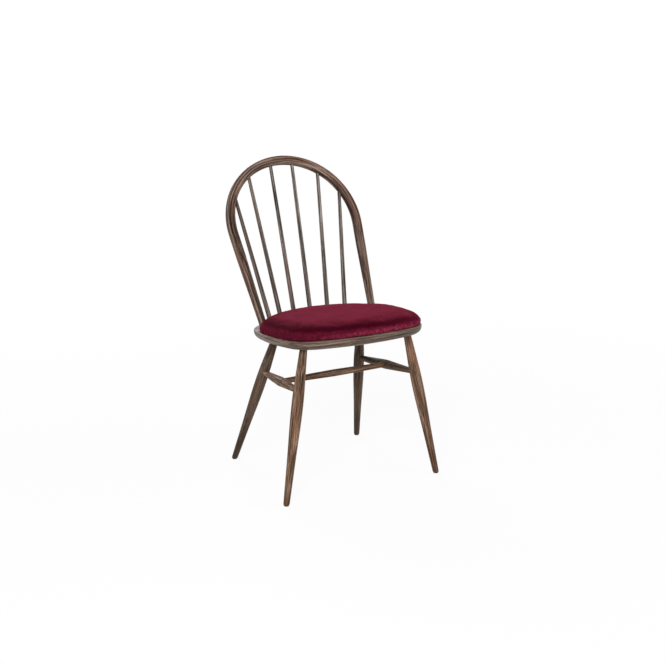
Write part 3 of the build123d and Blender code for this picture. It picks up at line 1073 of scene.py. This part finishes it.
@dataclass(frozen=True)
class ThinCloth:
    """Non-woven dust cloth with its pressed dots.

    Attributes:
        body: the main colour.
        thin: the colour where it is thin.
        dots: how many dots lie in a metre.
    """

    body: Colour
    thin: Colour
    dots: float = 700.0

    def material(self, name: str) -> bpy.types.Material:
        """Builds the cloth.

        Args:
            name: the material's name.

        Returns:
            The material.
        """
        w = Surface(name)
        dots = w.feed(w.add("ShaderNodeTexVoronoi", feature="F1"), Vector=w.place, Scale=self.dots)
        threads = w.noise(w.place, scale=500.0, detail=4.0, roughness=0.7)
        colour = w.mix(w.ramp(threads, 0.4, 0.7), self.body, self.thin)
        w.feed(w.shader, Base_Color=colour, Roughness=w.span(threads, 0.75, 0.95))
        w.bump(w.plus(dots.outputs["Distance"], threads), 0.4, 0.0002)
        return w.material


@dataclass(frozen=True)
class Finishes:
    """Every finish of the chair, in one place.

    Attributes:
        turned: the front legs, the cross stretcher and the side stretcher on the sitter's right.
        dusky: the rear legs and the side stretcher on the sitter's left: a darker copy of the turned stain
            that paints the shade they stand in.
        spun: the spindles, greyer and with finer streaks.
        bent: the bow.
        board: the seat.
        wedge: the wedges in the tenons.
        velvet: the pad.
        plywood: the pad's board.
        steel: the staples, screws and nails.
        nylon: the glides.
        dust_cloth: the cloth under the pad's board.
    """

    turned: StainedWood = StainedWood(
        srgb(52, 37, 28), srgb(115, 88, 71), srgb(182, 150, 124), srgb(146, 94, 65),
        figure=0.9, fineness=1.15,
    )
    # The turned stain darkened as painted shade for the rear legs and the left side stretcher
    dusky: StainedWood = StainedWood(
        srgb(48, 38, 31), srgb(92, 75, 63), srgb(132, 113, 98), srgb(114, 84, 63),
        figure=0.7, fineness=1.25,
    )
    spun: StainedWood = StainedWood(
        srgb(38, 32, 29), srgb(101, 91, 85), srgb(174, 163, 155), srgb(120, 92, 79),
        figure=1.1, fineness=1.6,
    )
    bent: StainedWood = StainedWood(
        srgb(40, 28, 23), srgb(99, 79, 69), srgb(164, 141, 125), srgb(126, 78, 57),
        figure=0.9, fineness=0.8, gloss=0.06, relief=0.2,
    )
    board: StainedWood = StainedWood(
        srgb(45, 36, 30), srgb(105, 87, 75), srgb(155, 135, 119), srgb(122, 88, 67),
        figure=0.85, low=0.32, high=0.46, gloss=0.2,
    )
    wedge: StainedWood = StainedWood(
        srgb(84, 62, 44), srgb(128, 98, 70), srgb(168, 138, 104), srgb(150, 110, 74),
        figure=0.6,
    )
    # The velvet's deep, bright and rubbed colours are its painted shade, painted light and painted sheen
    velvet: Velvet = Velvet(
        deep=srgb(56, 0, 17), body=srgb(97, 16, 38), crown=srgb(112, 31, 52),
        bright=srgb(150, 50, 76), sheen=srgb(196, 58, 90), rubbed=srgb(190, 82, 106),
    )
    plywood: Plywood = Plywood(srgb(202, 172, 130), srgb(160, 126, 86))
    steel: BareMetal = BareMetal(srgb(190, 190, 188), srgb(140, 134, 126))
    nylon: Moulded = Moulded(srgb(52, 44, 38), srgb(92, 82, 72))
    dust_cloth: ThinCloth = ThinCloth(srgb(30, 30, 30), srgb(58, 58, 58))

    def wood(self, stain: Stain) -> StainedWood:
        """The finish that a stain names."""
        return getattr(self, stain.value)


def add_object(name: str, data: bpy.types.ID) -> Piece:
    """Adds an object to the scene.

    Args:
        name: its name.
        data: its mesh, lamp or camera.

    Returns:
        The object.
    """
    made = bpy.data.objects.new(name, data)
    bpy.context.scene.collection.objects.link(made)
    return made


def add_mesh(name: str, mesh: bmesh.types.BMesh) -> Piece:
    """Adds an object from a mesh that is being built, and frees that.

    Args:
        name: its name.
        mesh: the mesh.

    Returns:
        The object.
    """
    data = bpy.data.meshes.new(name)
    mesh.to_mesh(data)
    mesh.free()
    return add_object(name, data)


def active(thing: Piece) -> None:
    """Makes an object the only selected and the active one.

    Args:
        thing: the object.
    """
    for other in bpy.context.selected_objects:
        other.select_set(False)
    thing.select_set(True)
    bpy.context.view_layer.objects.active = thing


def apply_modifier(thing: Piece, modifier: bpy.types.Modifier) -> None:
    """Applies one modifier."""
    active(thing)
    bpy.ops.object.modifier_apply(modifier=modifier.name)


def points_of(thing: Piece) -> np.ndarray:
    """The points of an object's mesh."""
    return np.array([vertex.co for vertex in thing.data.vertices])


def move_points(thing: Piece, points: np.ndarray) -> None:
    """Moves the points of an object's mesh to new places."""
    thing.data.vertices.foreach_set("co", points.astype(np.float32).ravel())
    thing.data.update()


def paint(piece: Piece, material: bpy.types.Material) -> None:
    """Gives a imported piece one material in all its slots.

    Args:
        piece: the piece.
        material: the material.
    """
    if not piece.material_slots:
        piece.data.materials.append(material)
    for place in piece.material_slots:
        place.link = "OBJECT"
        place.material = material


@dataclass
class SeatPlane:
    """The seat board's tilted top face.

    Attributes:
        height: its height over the origin.
        tilt: how far it falls towards the back, in degrees.
        half_width: the board's half width.
        widest_ahead: how far ahead of the origin it is widest.
        front_reach: from there to its front edge.
        front_radius: the front edge's radius.
        side_radius: the side edges' radius.
        front_corner: the front corners' radius.
    """

    height: float = 0.419
    tilt: float = 4.25
    half_width: float = 0.2165
    widest_ahead: float = 0.0787
    front_reach: float = 0.1816
    front_radius: float = 0.532
    side_radius: float = 0.455
    front_corner: float = 0.089

    @property
    def normal(self) -> Vector:
        """The way up from the face."""
        return Vector((0, math.sin(math.radians(self.tilt)), math.cos(math.radians(self.tilt))))

    @property
    def back(self) -> Vector:
        """The way to the back along the face."""
        return Vector((0, math.cos(math.radians(self.tilt)), -math.sin(math.radians(self.tilt))))

    @property
    def origin(self) -> Vector:
        """The face's point over the origin."""
        return Vector((0, 0, self.height))

    def point(self, x: float, y: float, lift: float) -> Vector:
        """A point by its place along the face and its lift off it."""
        return self.origin + Vector((x, 0, 0)) + self.back * y + self.normal * lift


@dataclass(frozen=True)
class Circle:
    """A circle in the seat's plane.

    Attributes:
        centre: its centre.
        radius: its radius.
    """

    centre: Vector
    radius: float

    def towards(self, point: Vector) -> Vector:
        """The circle's point straight out from its centre through another point."""
        return self.centre + (point - self.centre).normalized() * self.radius

    def arc(self, start: Vector, end: Vector, count: int) -> list[Vector]:
        """Points along an arc of the circle.

        Args:
            start: the arc's first point.
            end: where it ends, which is left out.
            count: how many points there are.

        Returns:
            The points.
        """
        low = math.atan2(start.y - self.centre.y, start.x - self.centre.x)
        high = math.atan2(end.y - self.centre.y, end.x - self.centre.x)
        turns = [low + (high - low) * step / count for step in range(count)]
        return [self.centre + Vector((math.cos(turn), math.sin(turn))) * self.radius for turn in turns]

    def corner(self, other: "Circle", radius: float) -> "Circle":
        """The corner circle that lies inside this circle and another and touches both.

        Args:
            other: the other circle.
            radius: the corner's radius.

        Returns:
            The corner on the sitter's left.
        """
        near, far = self.radius - radius, other.radius - radius
        gap = other.centre - self.centre
        along = (near * near - far * far + gap.length * gap.length) / (2 * gap.length)
        off = math.sqrt(max(0.0, near * near - along * along))
        unit = gap / gap.length
        across = Vector((-unit.y, unit.x)) * off
        middle = self.centre + unit * along
        return Circle(max(middle + across, middle - across, key=lambda centre: centre.x), radius)


@dataclass
class PadShape:
    """The cushion's form over the seat.

    Attributes:
        seat: the face that it rests on.
        margin: how far inside the board's edge it stays.
        rear_edge: its rear edge along the seat.
        rear_radius: its rear edge's radius.
        rear_corner: its rear corners' radius.
        height: its height.
        draw_in: how far its foot is drawn in.
        shoulder: how far in from its side the top is flat.
        section_shares: height share, draw share and shoulder share of each section.
        foot_shrink_share: how much of its shrinking is taken off under its foot.
        arc_steps: points along each arc of its outline.
        notch: the radius kept round each foot of the bow.
        notch_length: how long that hollow is cut.
        notch_sides: how many sides the hollow's round has.
        foot: where the bow's foot meets the seat, on the sitter's left.
        rise: the way up along that foot.
    """

    seat: SeatPlane
    margin: float = 0.0015
    rear_edge: float = 0.1028
    rear_radius: float = 0.240
    rear_corner: float = 0.095
    height: float = 0.039
    draw_in: float = 0.002
    shoulder: float = 0.084
    section_shares: tuple[Point, ...] = (
        (0.005, 2.0, 0.0), (0.03, 1.4, 0.0), (0.07, 0.8, 0.0), (0.13, 0.25, 0.0), (0.30, 0.0, 0.0),
        (0.47, 0.0, 0.036), (0.58, 0.0, 0.071), (0.685, 0.0, 0.12), (0.79, 0.0, 0.19), (0.87, 0.0, 0.286),
        (0.92, 0.0, 0.43), (0.965, 0.0, 0.67), (0.985, 0.0, 0.86), (1.0, 0.0, 1.15),
    )
    foot_shrink_share: float = 0.3
    arc_steps: int = 14
    notch: float = 0.014
    notch_length: float = 0.16
    notch_sides: int = 40
    foot: Point = (0.174, 0.0171, 0.4177)
    rise: Point = (0.0905, 0.4752, 0.8752)

    def outline(self, inset: float) -> list[Vector]:
        """The closed outline, drawn in by inset, in the seat's plane.

        Args:
            inset: how far it is drawn in from the widest line.

        Returns:
            The points, starting at the front and going round by the sitter's left and the back.
        """
        seat = self.seat
        draw = self.margin + inset
        size = 1 - draw / seat.half_width
        radii = (seat.front_radius, seat.side_radius, self.rear_radius)
        front_radius, side_radius, rear_radius = (radius * size for radius in radii)
        front = Circle(Vector((0, draw - seat.widest_ahead - seat.front_reach + front_radius)), front_radius)
        side = Circle(Vector((seat.half_width - draw - side_radius, -seat.widest_ahead)), side_radius)
        rear = Circle(Vector((0, self.rear_edge - draw - rear_radius)), rear_radius)
        corner = front.corner(side, seat.front_corner * size)
        rear_corner = rear.corner(side, self.rear_corner * size)
        meets = [
            front.centre - Vector((0, front_radius)),
            front.towards(corner.centre),
            side.towards(corner.centre),
            side.towards(rear_corner.centre),
            rear.towards(rear_corner.centre),
            rear.centre + Vector((0, rear_radius)),
        ]
        half = []
        for circle, start, end in zip((front, corner, side, rear_corner, rear), meets, meets[1:]):
            half += circle.arc(start, end, self.arc_steps)
        return half + [meets[-1]] + [Vector((-p.x, p.y)) for p in reversed(half[1:])]

    def build(self, name: str, shrink: float = 0.0) -> Piece:
        """Builds the closed form with its hollows, drawn in all round.

        Args:
            name: the object's name.
            shrink: how far it is drawn in.

        Returns:
            The object.
        """
        mesh = bmesh.new()
        loops = []
        for rise_share, draw_share, shoulder_share in self.section_shares:
            inset = shrink + draw_share * self.draw_in + shoulder_share * self.shoulder
            under = shrink * self.foot_shrink_share
            lift = under + rise_share * (self.height - under - shrink)
            loops.append([mesh.verts.new(self.seat.point(p.x, p.y, lift)) for p in self.outline(inset)])
        for lower, upper in zip(loops, loops[1:]):
            for index in range(len(lower)):
                after = (index + 1) % len(lower)
                mesh.faces.new((lower[index], lower[after], upper[after], upper[index]))
        mesh.faces.new(list(reversed(loops[0])))
        mesh.faces.new(loops[-1])
        bmesh.ops.recalc_face_normals(mesh, faces=mesh.faces)
        made = add_mesh(name, mesh)
        for side in (1, -1):
            self.cut_notch(made, side)
        return made

    def cut_notch(self, pad: Piece, side: int) -> None:
        """Cuts the hollow round one foot of the bow.

        Args:
            pad: the pad's object.
            side: 1 on the sitter's left, -1 on the sitter's right.
        """
        flip = Matrix.Diagonal((side, 1, 1))
        foot, up = flip @ Vector(self.foot), flip @ Vector(self.rise)
        mesh = bmesh.new()
        bmesh.ops.create_cone(
            mesh, cap_ends=True, segments=self.notch_sides, radius1=self.notch, radius2=self.notch,
            depth=self.notch_length,
        )
        turn = up.to_track_quat("Z", "Y").to_matrix().to_4x4()
        bmesh.ops.transform(mesh, matrix=Matrix.Translation(foot) @ turn, verts=mesh.verts)
        cutter = add_mesh("notch", mesh)
        cut = pad.modifiers.new("notch", "BOOLEAN")
        cut.operation = "DIFFERENCE"
        cut.solver = "EXACT"
        cut.object = cutter
        apply_modifier(pad, cut)
        bpy.data.objects.remove(cutter)


@dataclass(frozen=True)
class Gathers:
    """Small folds of the cloth where it is pulled under, deepest beside the bow's feet.

    Attributes:
        counts: how many folds each of the overlaid waves has all round.
        seed: the seed of the waves' places.
        wave_height: the sum of the waves from a full crease to a full fold.
        depth: how far a fold stands out.
        plain_share: the share of that depth all along the foot.
        beside_share: the share that is added beside the bow's feet.
        reach: how far beside the bow's feet they stay deep.
        height: how high the folds stand all along the foot.
        beside_height: how much higher they stand beside the bow's feet.
        full_height: the height up to which they are full.
        fading: the power of their fading above that.
        shade_share: how much of their painted shade and light they keep away from the bow's feet.
        shade_gain: how much sooner than the folds it gets full towards the bow's feet.
        shade_width: how far off the middle a wave is all fold or all crease.
        rim_height: the height up to which the lower edge stays put.
        rim_fading: the height over which the folds start above it.
        clearance: how far the cloth stays off the seat.
    """

    counts: tuple[int, ...] = (83, 101, 127, 149, 167, 191)
    seed: int = 7
    wave_height: float = 4.5
    depth: float = 0.0008
    plain_share: float = 0.35
    beside_share: float = 2.4
    reach: float = 0.06
    height: float = 0.009
    beside_height: float = 0.023
    full_height: float = 0.002
    fading: float = 0.7
    shade_share: float = 0.05
    shade_gain: float = 1.5
    shade_width: float = 0.4
    rim_height: float = 0.0004
    rim_fading: float = 0.0012
    clearance: float = 0.0002

    def waves(self, turn: np.ndarray) -> np.ndarray:
        """The overlaid waves.

        Args:
            turn: each point's angle round the pad.

        Returns:
            0 in a crease to 1 on a fold.
        """
        rng = np.random.default_rng(self.seed)
        total = np.zeros(len(turn))
        for count, phase in zip(self.counts, rng.uniform(0, 2 * math.pi, len(self.counts))):
            total += np.sin(turn * count + phase)
        return np.clip(0.5 + total / self.wave_height, 0, 1)

    def beside(self, shape: PadShape, across: np.ndarray, along: np.ndarray) -> np.ndarray:
        """How near the bow's feet each point is.

        Args:
            shape: the pad's form.
            across: each point's way towards the sitter's left.
            along: its way to the back along the seat.

        Returns:
            1 at a foot to 0 far off.
        """
        near = np.zeros(len(across))
        for side in (1, -1):
            gap = np.hypot(across - side * shape.foot[0], along - shape.foot[1]) - shape.notch
            near = np.maximum(near, np.exp(-np.maximum(gap, 0) / self.reach))
        return near

    def gather(self, pad: Piece, shape: PadShape) -> None:
        """Pulls the pad's cloth into folds and marks them for the velvet's painted shade in the creases and
        painted light on the folds.

        Args:
            pad: the pad.
            shape: its form.
        """
        seat = shape.seat
        origin, normal, back = np.array(seat.origin), np.array(seat.normal), np.array(seat.back)
        points = points_of(pad)
        across, along, lift = points[:, 0].copy(), (points - origin) @ back, (points - origin) @ normal
        ahead = along + seat.widest_ahead
        waves, beside = self.waves(np.arctan2(ahead, across)), self.beside(shape, across, along)
        height = self.height + self.beside_height * beside
        low = np.clip((height - lift) / (height - self.full_height), 0, 1) ** self.fading
        shade = self.shade_share + (1 - self.shade_share) * np.minimum(1, self.shade_gain * beside)
        # The mark from which the velvet paints shade in the creases and light on the folds
        folds = np.clip((waves - 0.5) / self.shade_width, -1, 1) * low * shade
        pad.data.attributes.new(FOLD, "FLOAT", "POINT").data.foreach_set("value", folds.astype(np.float32))
        outward = across[:, None] * np.array(SIDEWAYS) + ahead[:, None] * back
        outward /= np.maximum(np.linalg.norm(outward, axis=1), TINY)[:, None]
        rim = np.clip((lift - self.rim_height) / self.rim_fading, 0, 1)
        depth = self.depth * (self.plain_share + self.beside_share * beside)
        points += outward * (depth * low * rim * waves)[:, None]
        short = np.maximum(self.clearance - (points - origin) @ normal, 0)
        move_points(pad, points + short[:, None] * normal)


@dataclass(frozen=True)
class Swelling:
    """How the velvet swells over its foam, as cloth under pressure.

    Attributes:
        pressure: the air pressure that stands for the foam.
        frames: how long it swells.
        cap: how far a point may move.
        held_height: the height from which the cloth is free.
        held_fading: the height over which it comes to be held under that.
        settings: the cloth's own settings.
    """

    pressure: float = 4.0
    frames: int = 20
    cap: float = 0.005
    held_height: float = 0.014
    held_fading: float = 0.004
    settings: tuple[tuple[str, float], ...] = (
        ("quality", 6), ("mass", 0.4), ("tension_stiffness", 20), ("compression_stiffness", 12),
        ("bending_stiffness", 2.5), ("air_damping", 2),
    )

    def hold(self, pad: Piece, seat: SeatPlane) -> None:
        """Holds the cloth along its foot.

        Args:
            pad: the pad.
            seat: the face that it rests on.
        """
        held = pad.vertex_groups.new(name="held")
        for vertex in pad.data.vertices:
            lift = (vertex.co - seat.origin).dot(seat.normal)
            weight = clamp01((self.held_height - lift) / self.held_fading)
            if weight > 0:
                held.add([vertex.index], weight, "REPLACE")

    def simulate(self, pad: Piece) -> np.ndarray:
        """Runs the cloth.

        Args:
            pad: the pad, held along its foot.

        Returns:
            Its swollen points.
        """
        cloth = pad.modifiers.new("cloth", "CLOTH")
        for name, value in self.settings:
            setattr(cloth.settings, name, value)
        cloth.settings.use_pressure = True
        cloth.settings.uniform_pressure_force = self.pressure
        cloth.settings.vertex_group_mass = "held"
        cloth.settings.effector_weights.gravity = 0
        cloth.collision_settings.use_collision = False
        cloth.collision_settings.use_self_collision = False
        scene = bpy.context.scene
        scene.frame_start, scene.frame_end = 1, self.frames
        cloth.point_cache.frame_start, cloth.point_cache.frame_end = 1, self.frames
        for frame in range(1, self.frames + 1):
            scene.frame_set(frame)
        swollen = points_of(pad.evaluated_get(bpy.context.evaluated_depsgraph_get()))
        pad.modifiers.remove(cloth)
        scene.frame_set(1)
        return swollen

    def swell(self, pad: Piece, seat: SeatPlane) -> None:
        """Swells the pad and caps how far it moves.

        Args:
            pad: the remeshed pad.
            seat: the face that it rests on.
        """
        rest = points_of(pad)
        self.hold(pad, seat)
        moved = self.simulate(pad) - rest
        far = np.linalg.norm(moved, axis=1)
        move_points(pad, rest + moved * np.minimum(1.0, self.cap / np.maximum(far, TINY))[:, None])
        LOG.info("velvet moved %.1f mm at most, %.1f mm on average", far.max() * 1000, far.mean() * 1000)


@dataclass
class SeatPad:
    """The upholstered seat pad: foam under velvet.

    Attributes:
        shape: its form.
        finish: its velvet.
        swelling: how it swells.
        gathers: its small folds.
        voxel: the size of the remeshed faces.
        shrink: how much smaller it starts before it swells.
        smoothing: how far each smoothing goes.
        smoothings: how many there are.
        hug: how far the swollen cloth is drawn back to the foam's form.
        tight_height: the height from which the cloth is loose.
        tight_fading: the height over which it gets wholly tight under that.
    """

    shape: PadShape
    finish: Velvet
    swelling: Swelling = Swelling()
    gathers: Gathers = Gathers()
    voxel: float = 0.004
    shrink: float = 0.0012
    smoothing: float = 0.5
    smoothings: int = 3
    hug: float = 0.7
    tight_height: float = 0.016
    tight_fading: float = 0.006

    def settle(self, pad: Piece, form: Piece) -> None:
        """Draws the swollen cloth back towards the foam's form, wholly so where it is pulled tight.

        Args:
            pad: the swollen pad.
            form: the form of the foam under it.
        """
        tree = BVHTree.FromObject(form, bpy.context.evaluated_depsgraph_get())
        seat = self.shape.seat
        settled = []
        for vertex in pad.data.vertices:
            near = tree.find_nearest(vertex.co)[0]
            lift = (vertex.co - seat.origin).dot(seat.normal)
            tight = clamp01((self.tight_height - lift) / self.tight_fading)
            settled.append(vertex.co.lerp(near, self.hug + (1 - self.hug) * tight))
        move_points(pad, np.array(settled))

    def mesh(self) -> Piece:
        """Builds the pad's mesh.

        Returns:
            The pad.
        """
        form = self.shape.build("pad_form")
        pad = self.shape.build("seat_pad_velvet", self.shrink)
        pad.data.remesh_voxel_size = self.voxel
        pad.data.remesh_voxel_adaptivity = 0.0
        active(pad)
        bpy.ops.object.voxel_remesh()
        self.swelling.swell(pad, self.shape.seat)
        smooth = pad.modifiers.new("smooth", "SMOOTH")
        smooth.factor, smooth.iterations = self.smoothing, self.smoothings
        apply_modifier(pad, smooth)
        fine = pad.modifiers.new("fine", "SUBSURF")
        fine.levels = fine.render_levels = 1
        apply_modifier(pad, fine)
        self.settle(pad, form)
        bpy.data.objects.remove(form)
        self.gathers.gather(pad, self.shape)
        for polygon in pad.data.polygons:
            polygon.use_smooth = True
        return pad

    def build(self) -> list[str]:
        """Builds the pad, dresses it and rides it on the chair.

        Returns:
            The names of its pieces.
        """
        seat = self.shape.seat
        pad = self.mesh()
        pad.data.materials.clear()
        velvet = self.finish.material("burgundy velvet", seat.origin, seat.normal, self.shape.height)
        pad.data.materials.append(velvet)
        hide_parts("pad_cover", "pad_foam")
        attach(pad, "root")
        return [pad.name]


@dataclass
class WoodFrame:
    """Seat board, bow, spindles, legs and stretchers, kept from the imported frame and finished.

    Attributes:
        nodes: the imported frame's nodes.
        finishes: the chair's finishes.
        seat: the seat board's top face.
        foot: the point midway between the bow's feet.
        lean: how far the bow leans back, in degrees.
        wedge_grain: the way that the wedges' grain runs.
        samples: how many points of a member are enough to tell its long axis.
    """

    nodes: dict[str, Piece]
    finishes: Finishes
    seat: SeatPlane
    foot: Point = (0, 0.0171, 0.4177)
    lean: float = 28.5
    wedge_grain: Point = (0, 0.1, 1)
    samples: int = 3000

    def member_axis(self, name: str) -> Vector:
        """The long axis of a straight member.

        Args:
            name: its node.

        Returns:
            The direction of its greatest spread.
        """
        points = points_of(self.nodes[name])
        points -= points.mean(0)
        _, _, rows = np.linalg.svd(points[:: max(1, len(points) // self.samples)], full_matrices=False)
        return Vector(rows[0])

    def build(self) -> list[str]:
        """Finishes every wooden node.

        Returns:
            The names of its pieces.
        """
        looks = {}
        for name, cut in MEMBERS.items():
            grain = StraightGrain(self.member_axis(name))
            looks[name] = self.finishes.wood(cut.stain).material(f"stained {name}", grain, cut.shift)
        lean = math.radians(self.lean)
        bent = BentGrain(Vector(self.foot), Vector((0, math.sin(lean), math.cos(lean))))
        looks["back_bow"] = self.finishes.bent.material("stained bow", bent, BOW_SHIFT)
        flat = FlatGrain(SIDEWAYS, self.seat.normal)
        looks["seat_board"] = self.finishes.board.material("stained seat", flat, SEAT_SHIFT)
        for name, shift in WEDGE_SHIFTS.items():
            grain = StraightGrain(Vector(self.wedge_grain))
            looks[name] = self.finishes.wedge.material(f"wood {name}", grain, shift)
        for name, material in looks.items():
            paint(self.nodes[name], material)
        return list(looks)


@dataclass
class HiddenParts:
    """Board, dust cloth, staples, screws, nails and glides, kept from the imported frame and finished.

    Attributes:
        nodes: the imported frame's nodes.
        finishes: the chair's finishes.
        seat: the face that the pad rests on.
    """

    nodes: dict[str, Piece]
    finishes: Finishes
    seat: SeatPlane

    def build(self) -> list[str]:
        """Finishes every hidden node.

        Returns:
            The names of its pieces.
        """
        steel = self.finishes.steel.material("drawn steel")
        nylon = self.finishes.nylon.material("glide nylon")
        looks = {name: steel for name in ("pad_staples", "pad_screws", "glide_nails")}
        looks |= {f"glide_{end}_{side}": nylon for end in ("front", "rear") for side in ("left", "right")}
        looks["pad_board"] = self.finishes.plywood.material("plywood", self.seat.normal)
        looks["pad_lining"] = self.finishes.dust_cloth.material("dust cloth")
        for name, material in looks.items():
            paint(self.nodes[name], material)
        return list(looks)


@dataclass(frozen=True)
class Lamp:
    """One soft square lamp.

    Attributes:
        name: its name.
        place: where it hangs.
        size: its side.
        power: its power in watts.
        colour: its colour.
    """

    name: str
    place: Point
    size: float
    power: float
    colour: Point

    def hang(self, target: Vector) -> None:
        """Hangs the lamp and aims it.

        Args:
            target: what it is aimed at.
        """
        data = bpy.data.lights.new(self.name, "AREA")
        data.size, data.energy, data.color = self.size, self.power, self.colour
        lamp = add_object(self.name, data)
        lamp.location = self.place
        lamp.rotation_euler = (target - Vector(self.place)).to_track_quat("-Z", "Y").to_euler()


@dataclass
class Studio:
    """Floor, light and camera.

    Attributes:
        eye: the camera's place.
        target: what it looks at.
        lens: its focal length.
        sensor: its sensor's width.
        shift: its shift.
        clip: how near and how far it sees.
        lamps: the lamps.
        lamp_target: what they are aimed at.
        floor_size: half the floor's side.
        floor_drop: how far the floor lies under the feet.
        floor_dim: the floor's colour where it is darkest.
        floor_pale: its colour where it is palest.
        floor_bounce: the colour of the light that it throws up.
        floor_glow: how much of the floor is its own white light beside the chair, where the rest keeps the
            shadow, and how much far away.
        glow_reach: how far from the chair that light starts to rise, and where it is full.
        surround: the colour of the light from all round.
    """

    eye: Point = (-1.5311, -2.7262, 1.2009)
    target: Point = (0.0, -0.06, 0.41)
    lens: float = 62.476
    sensor: float = 36.0
    shift: Span = (-0.0018, -0.0046)
    clip: Span = (0.05, 60.0)
    lamps: tuple[Lamp, ...] = (
        Lamp("key", (-1.9, -2.5, 2.3), 1.4, 88, (1.0, 0.985, 0.96)),
        Lamp("fill", (2.4, -1.8, 1.6), 2.0, 30, (0.97, 0.98, 1.0)),
        Lamp("back", (0.2, 2.6, 2.0), 1.8, 40, (1.0, 1.0, 1.0)),
    )
    lamp_target: Point = (0, 0, 0.45)
    floor_size: float = 14.0
    floor_drop: float = 0.0002
    floor_dim: Colour = (0.64, 0.64, 0.64, 1)
    floor_pale: Colour = (0.67, 0.67, 0.67, 1)
    floor_bounce: Colour = (0.95, 0.95, 0.95, 1)
    floor_glow: Span = (0.91, 1.0)
    glow_reach: Span = (0.7, 2.2)
    surround: Colour = (0.27, 0.275, 0.285, 1)

    def floor(self) -> str:
        """Makes the pale floor, which keeps the chair's shadow.

        Returns:
            Its name.
        """
        mesh = bmesh.new()
        bmesh.ops.create_grid(mesh, x_segments=8, y_segments=8, size=self.floor_size)
        floor = add_mesh("floor", mesh)
        floor.location.z = -self.floor_drop
        w = Surface("pale floor")
        path = w.add("ShaderNodeLightPath").outputs
        seen_colour = w.mix(w.noise(w.place, scale=1.3), self.floor_dim, self.floor_pale)
        colour = w.mix(path["Is Camera Ray"], seen_colour, self.floor_bounce)
        w.feed(w.shader, Base_Color=colour, Roughness=0.9, Specular_IOR_Level=0.0)
        glow = w.feed(w.add("ShaderNodeEmission"), Strength=1.0)
        seen = w.math("MAXIMUM", path["Is Camera Ray"], path["Is Glossy Ray"])
        x, y, _ = w.split(w.place)
        share = w.times(seen, w.span(w.ramp(w.distance(x, y), *self.glow_reach), *self.floor_glow))
        blend = w.add("ShaderNodeMixShader", share, w.shader.outputs[0], glow.outputs[0])
        w.feed(w.tree.nodes["Material Output"], Surface=blend.outputs[0])
        floor.data.materials.append(w.material)
        return floor.name

    def world(self) -> None:
        """Makes the even studio surround, white where it is seen."""
        world = bpy.data.worlds.new("studio")
        bpy.context.scene.world = world
        world.use_nodes = True
        w = Wiring(world.node_tree)
        path = w.add("ShaderNodeLightPath").outputs
        seen = w.math("MAXIMUM", path["Is Camera Ray"], path["Is Glossy Ray"])
        seen = w.math("MAXIMUM", seen, path["Is Transmission Ray"])
        w.feed(w.tree.nodes["Background"], Color=w.mix(seen, self.surround, (1, 1, 1, 1)), Strength=1.0)

    def camera(self) -> str:
        """Sets up the camera.

        Returns:
            Its name.
        """
        data = bpy.data.cameras.new("camera")
        data.lens, data.sensor_width = self.lens, self.sensor
        data.shift_x, data.shift_y = self.shift
        data.clip_start, data.clip_end = self.clip
        camera = add_object("camera", data)
        camera.location = self.eye
        camera.rotation_mode = "QUATERNION"
        camera.rotation_quaternion = (Vector(self.target) - Vector(self.eye)).to_track_quat("-Z", "Y")
        bpy.context.scene.camera = camera
        return camera.name

    def build(self) -> list[str]:
        """Builds the studio.

        Returns:
            The names of its pieces.
        """
        names = [self.floor()]
        self.world()
        for lamp in self.lamps:
            lamp.hang(Vector(self.lamp_target))
            names.append(lamp.name)
        names.append(self.camera())
        bpy.context.scene.view_settings.view_transform = "Standard"
        return names


def main() -> None:
    """Builds the dressed chair in its studio and reports each piece."""
    logging.basicConfig(level=logging.INFO, format="%(name)s: %(message)s")
    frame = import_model()
    Effects().build()
    finishes = Finishes()
    seat = SeatPlane()
    assemblies = {
        "wood": WoodFrame(frame["nodes"], finishes, seat),
        "hidden parts": HiddenParts(frame["nodes"], finishes, seat),
        "seat pad": SeatPad(PadShape(seat), finishes.velvet),
        "studio": Studio(),
    }
    for title, assembly in assemblies.items():
        for name in assembly.build():
            LOG.info("%s: %s", title, name)


if __name__ == "__main__":
    main()
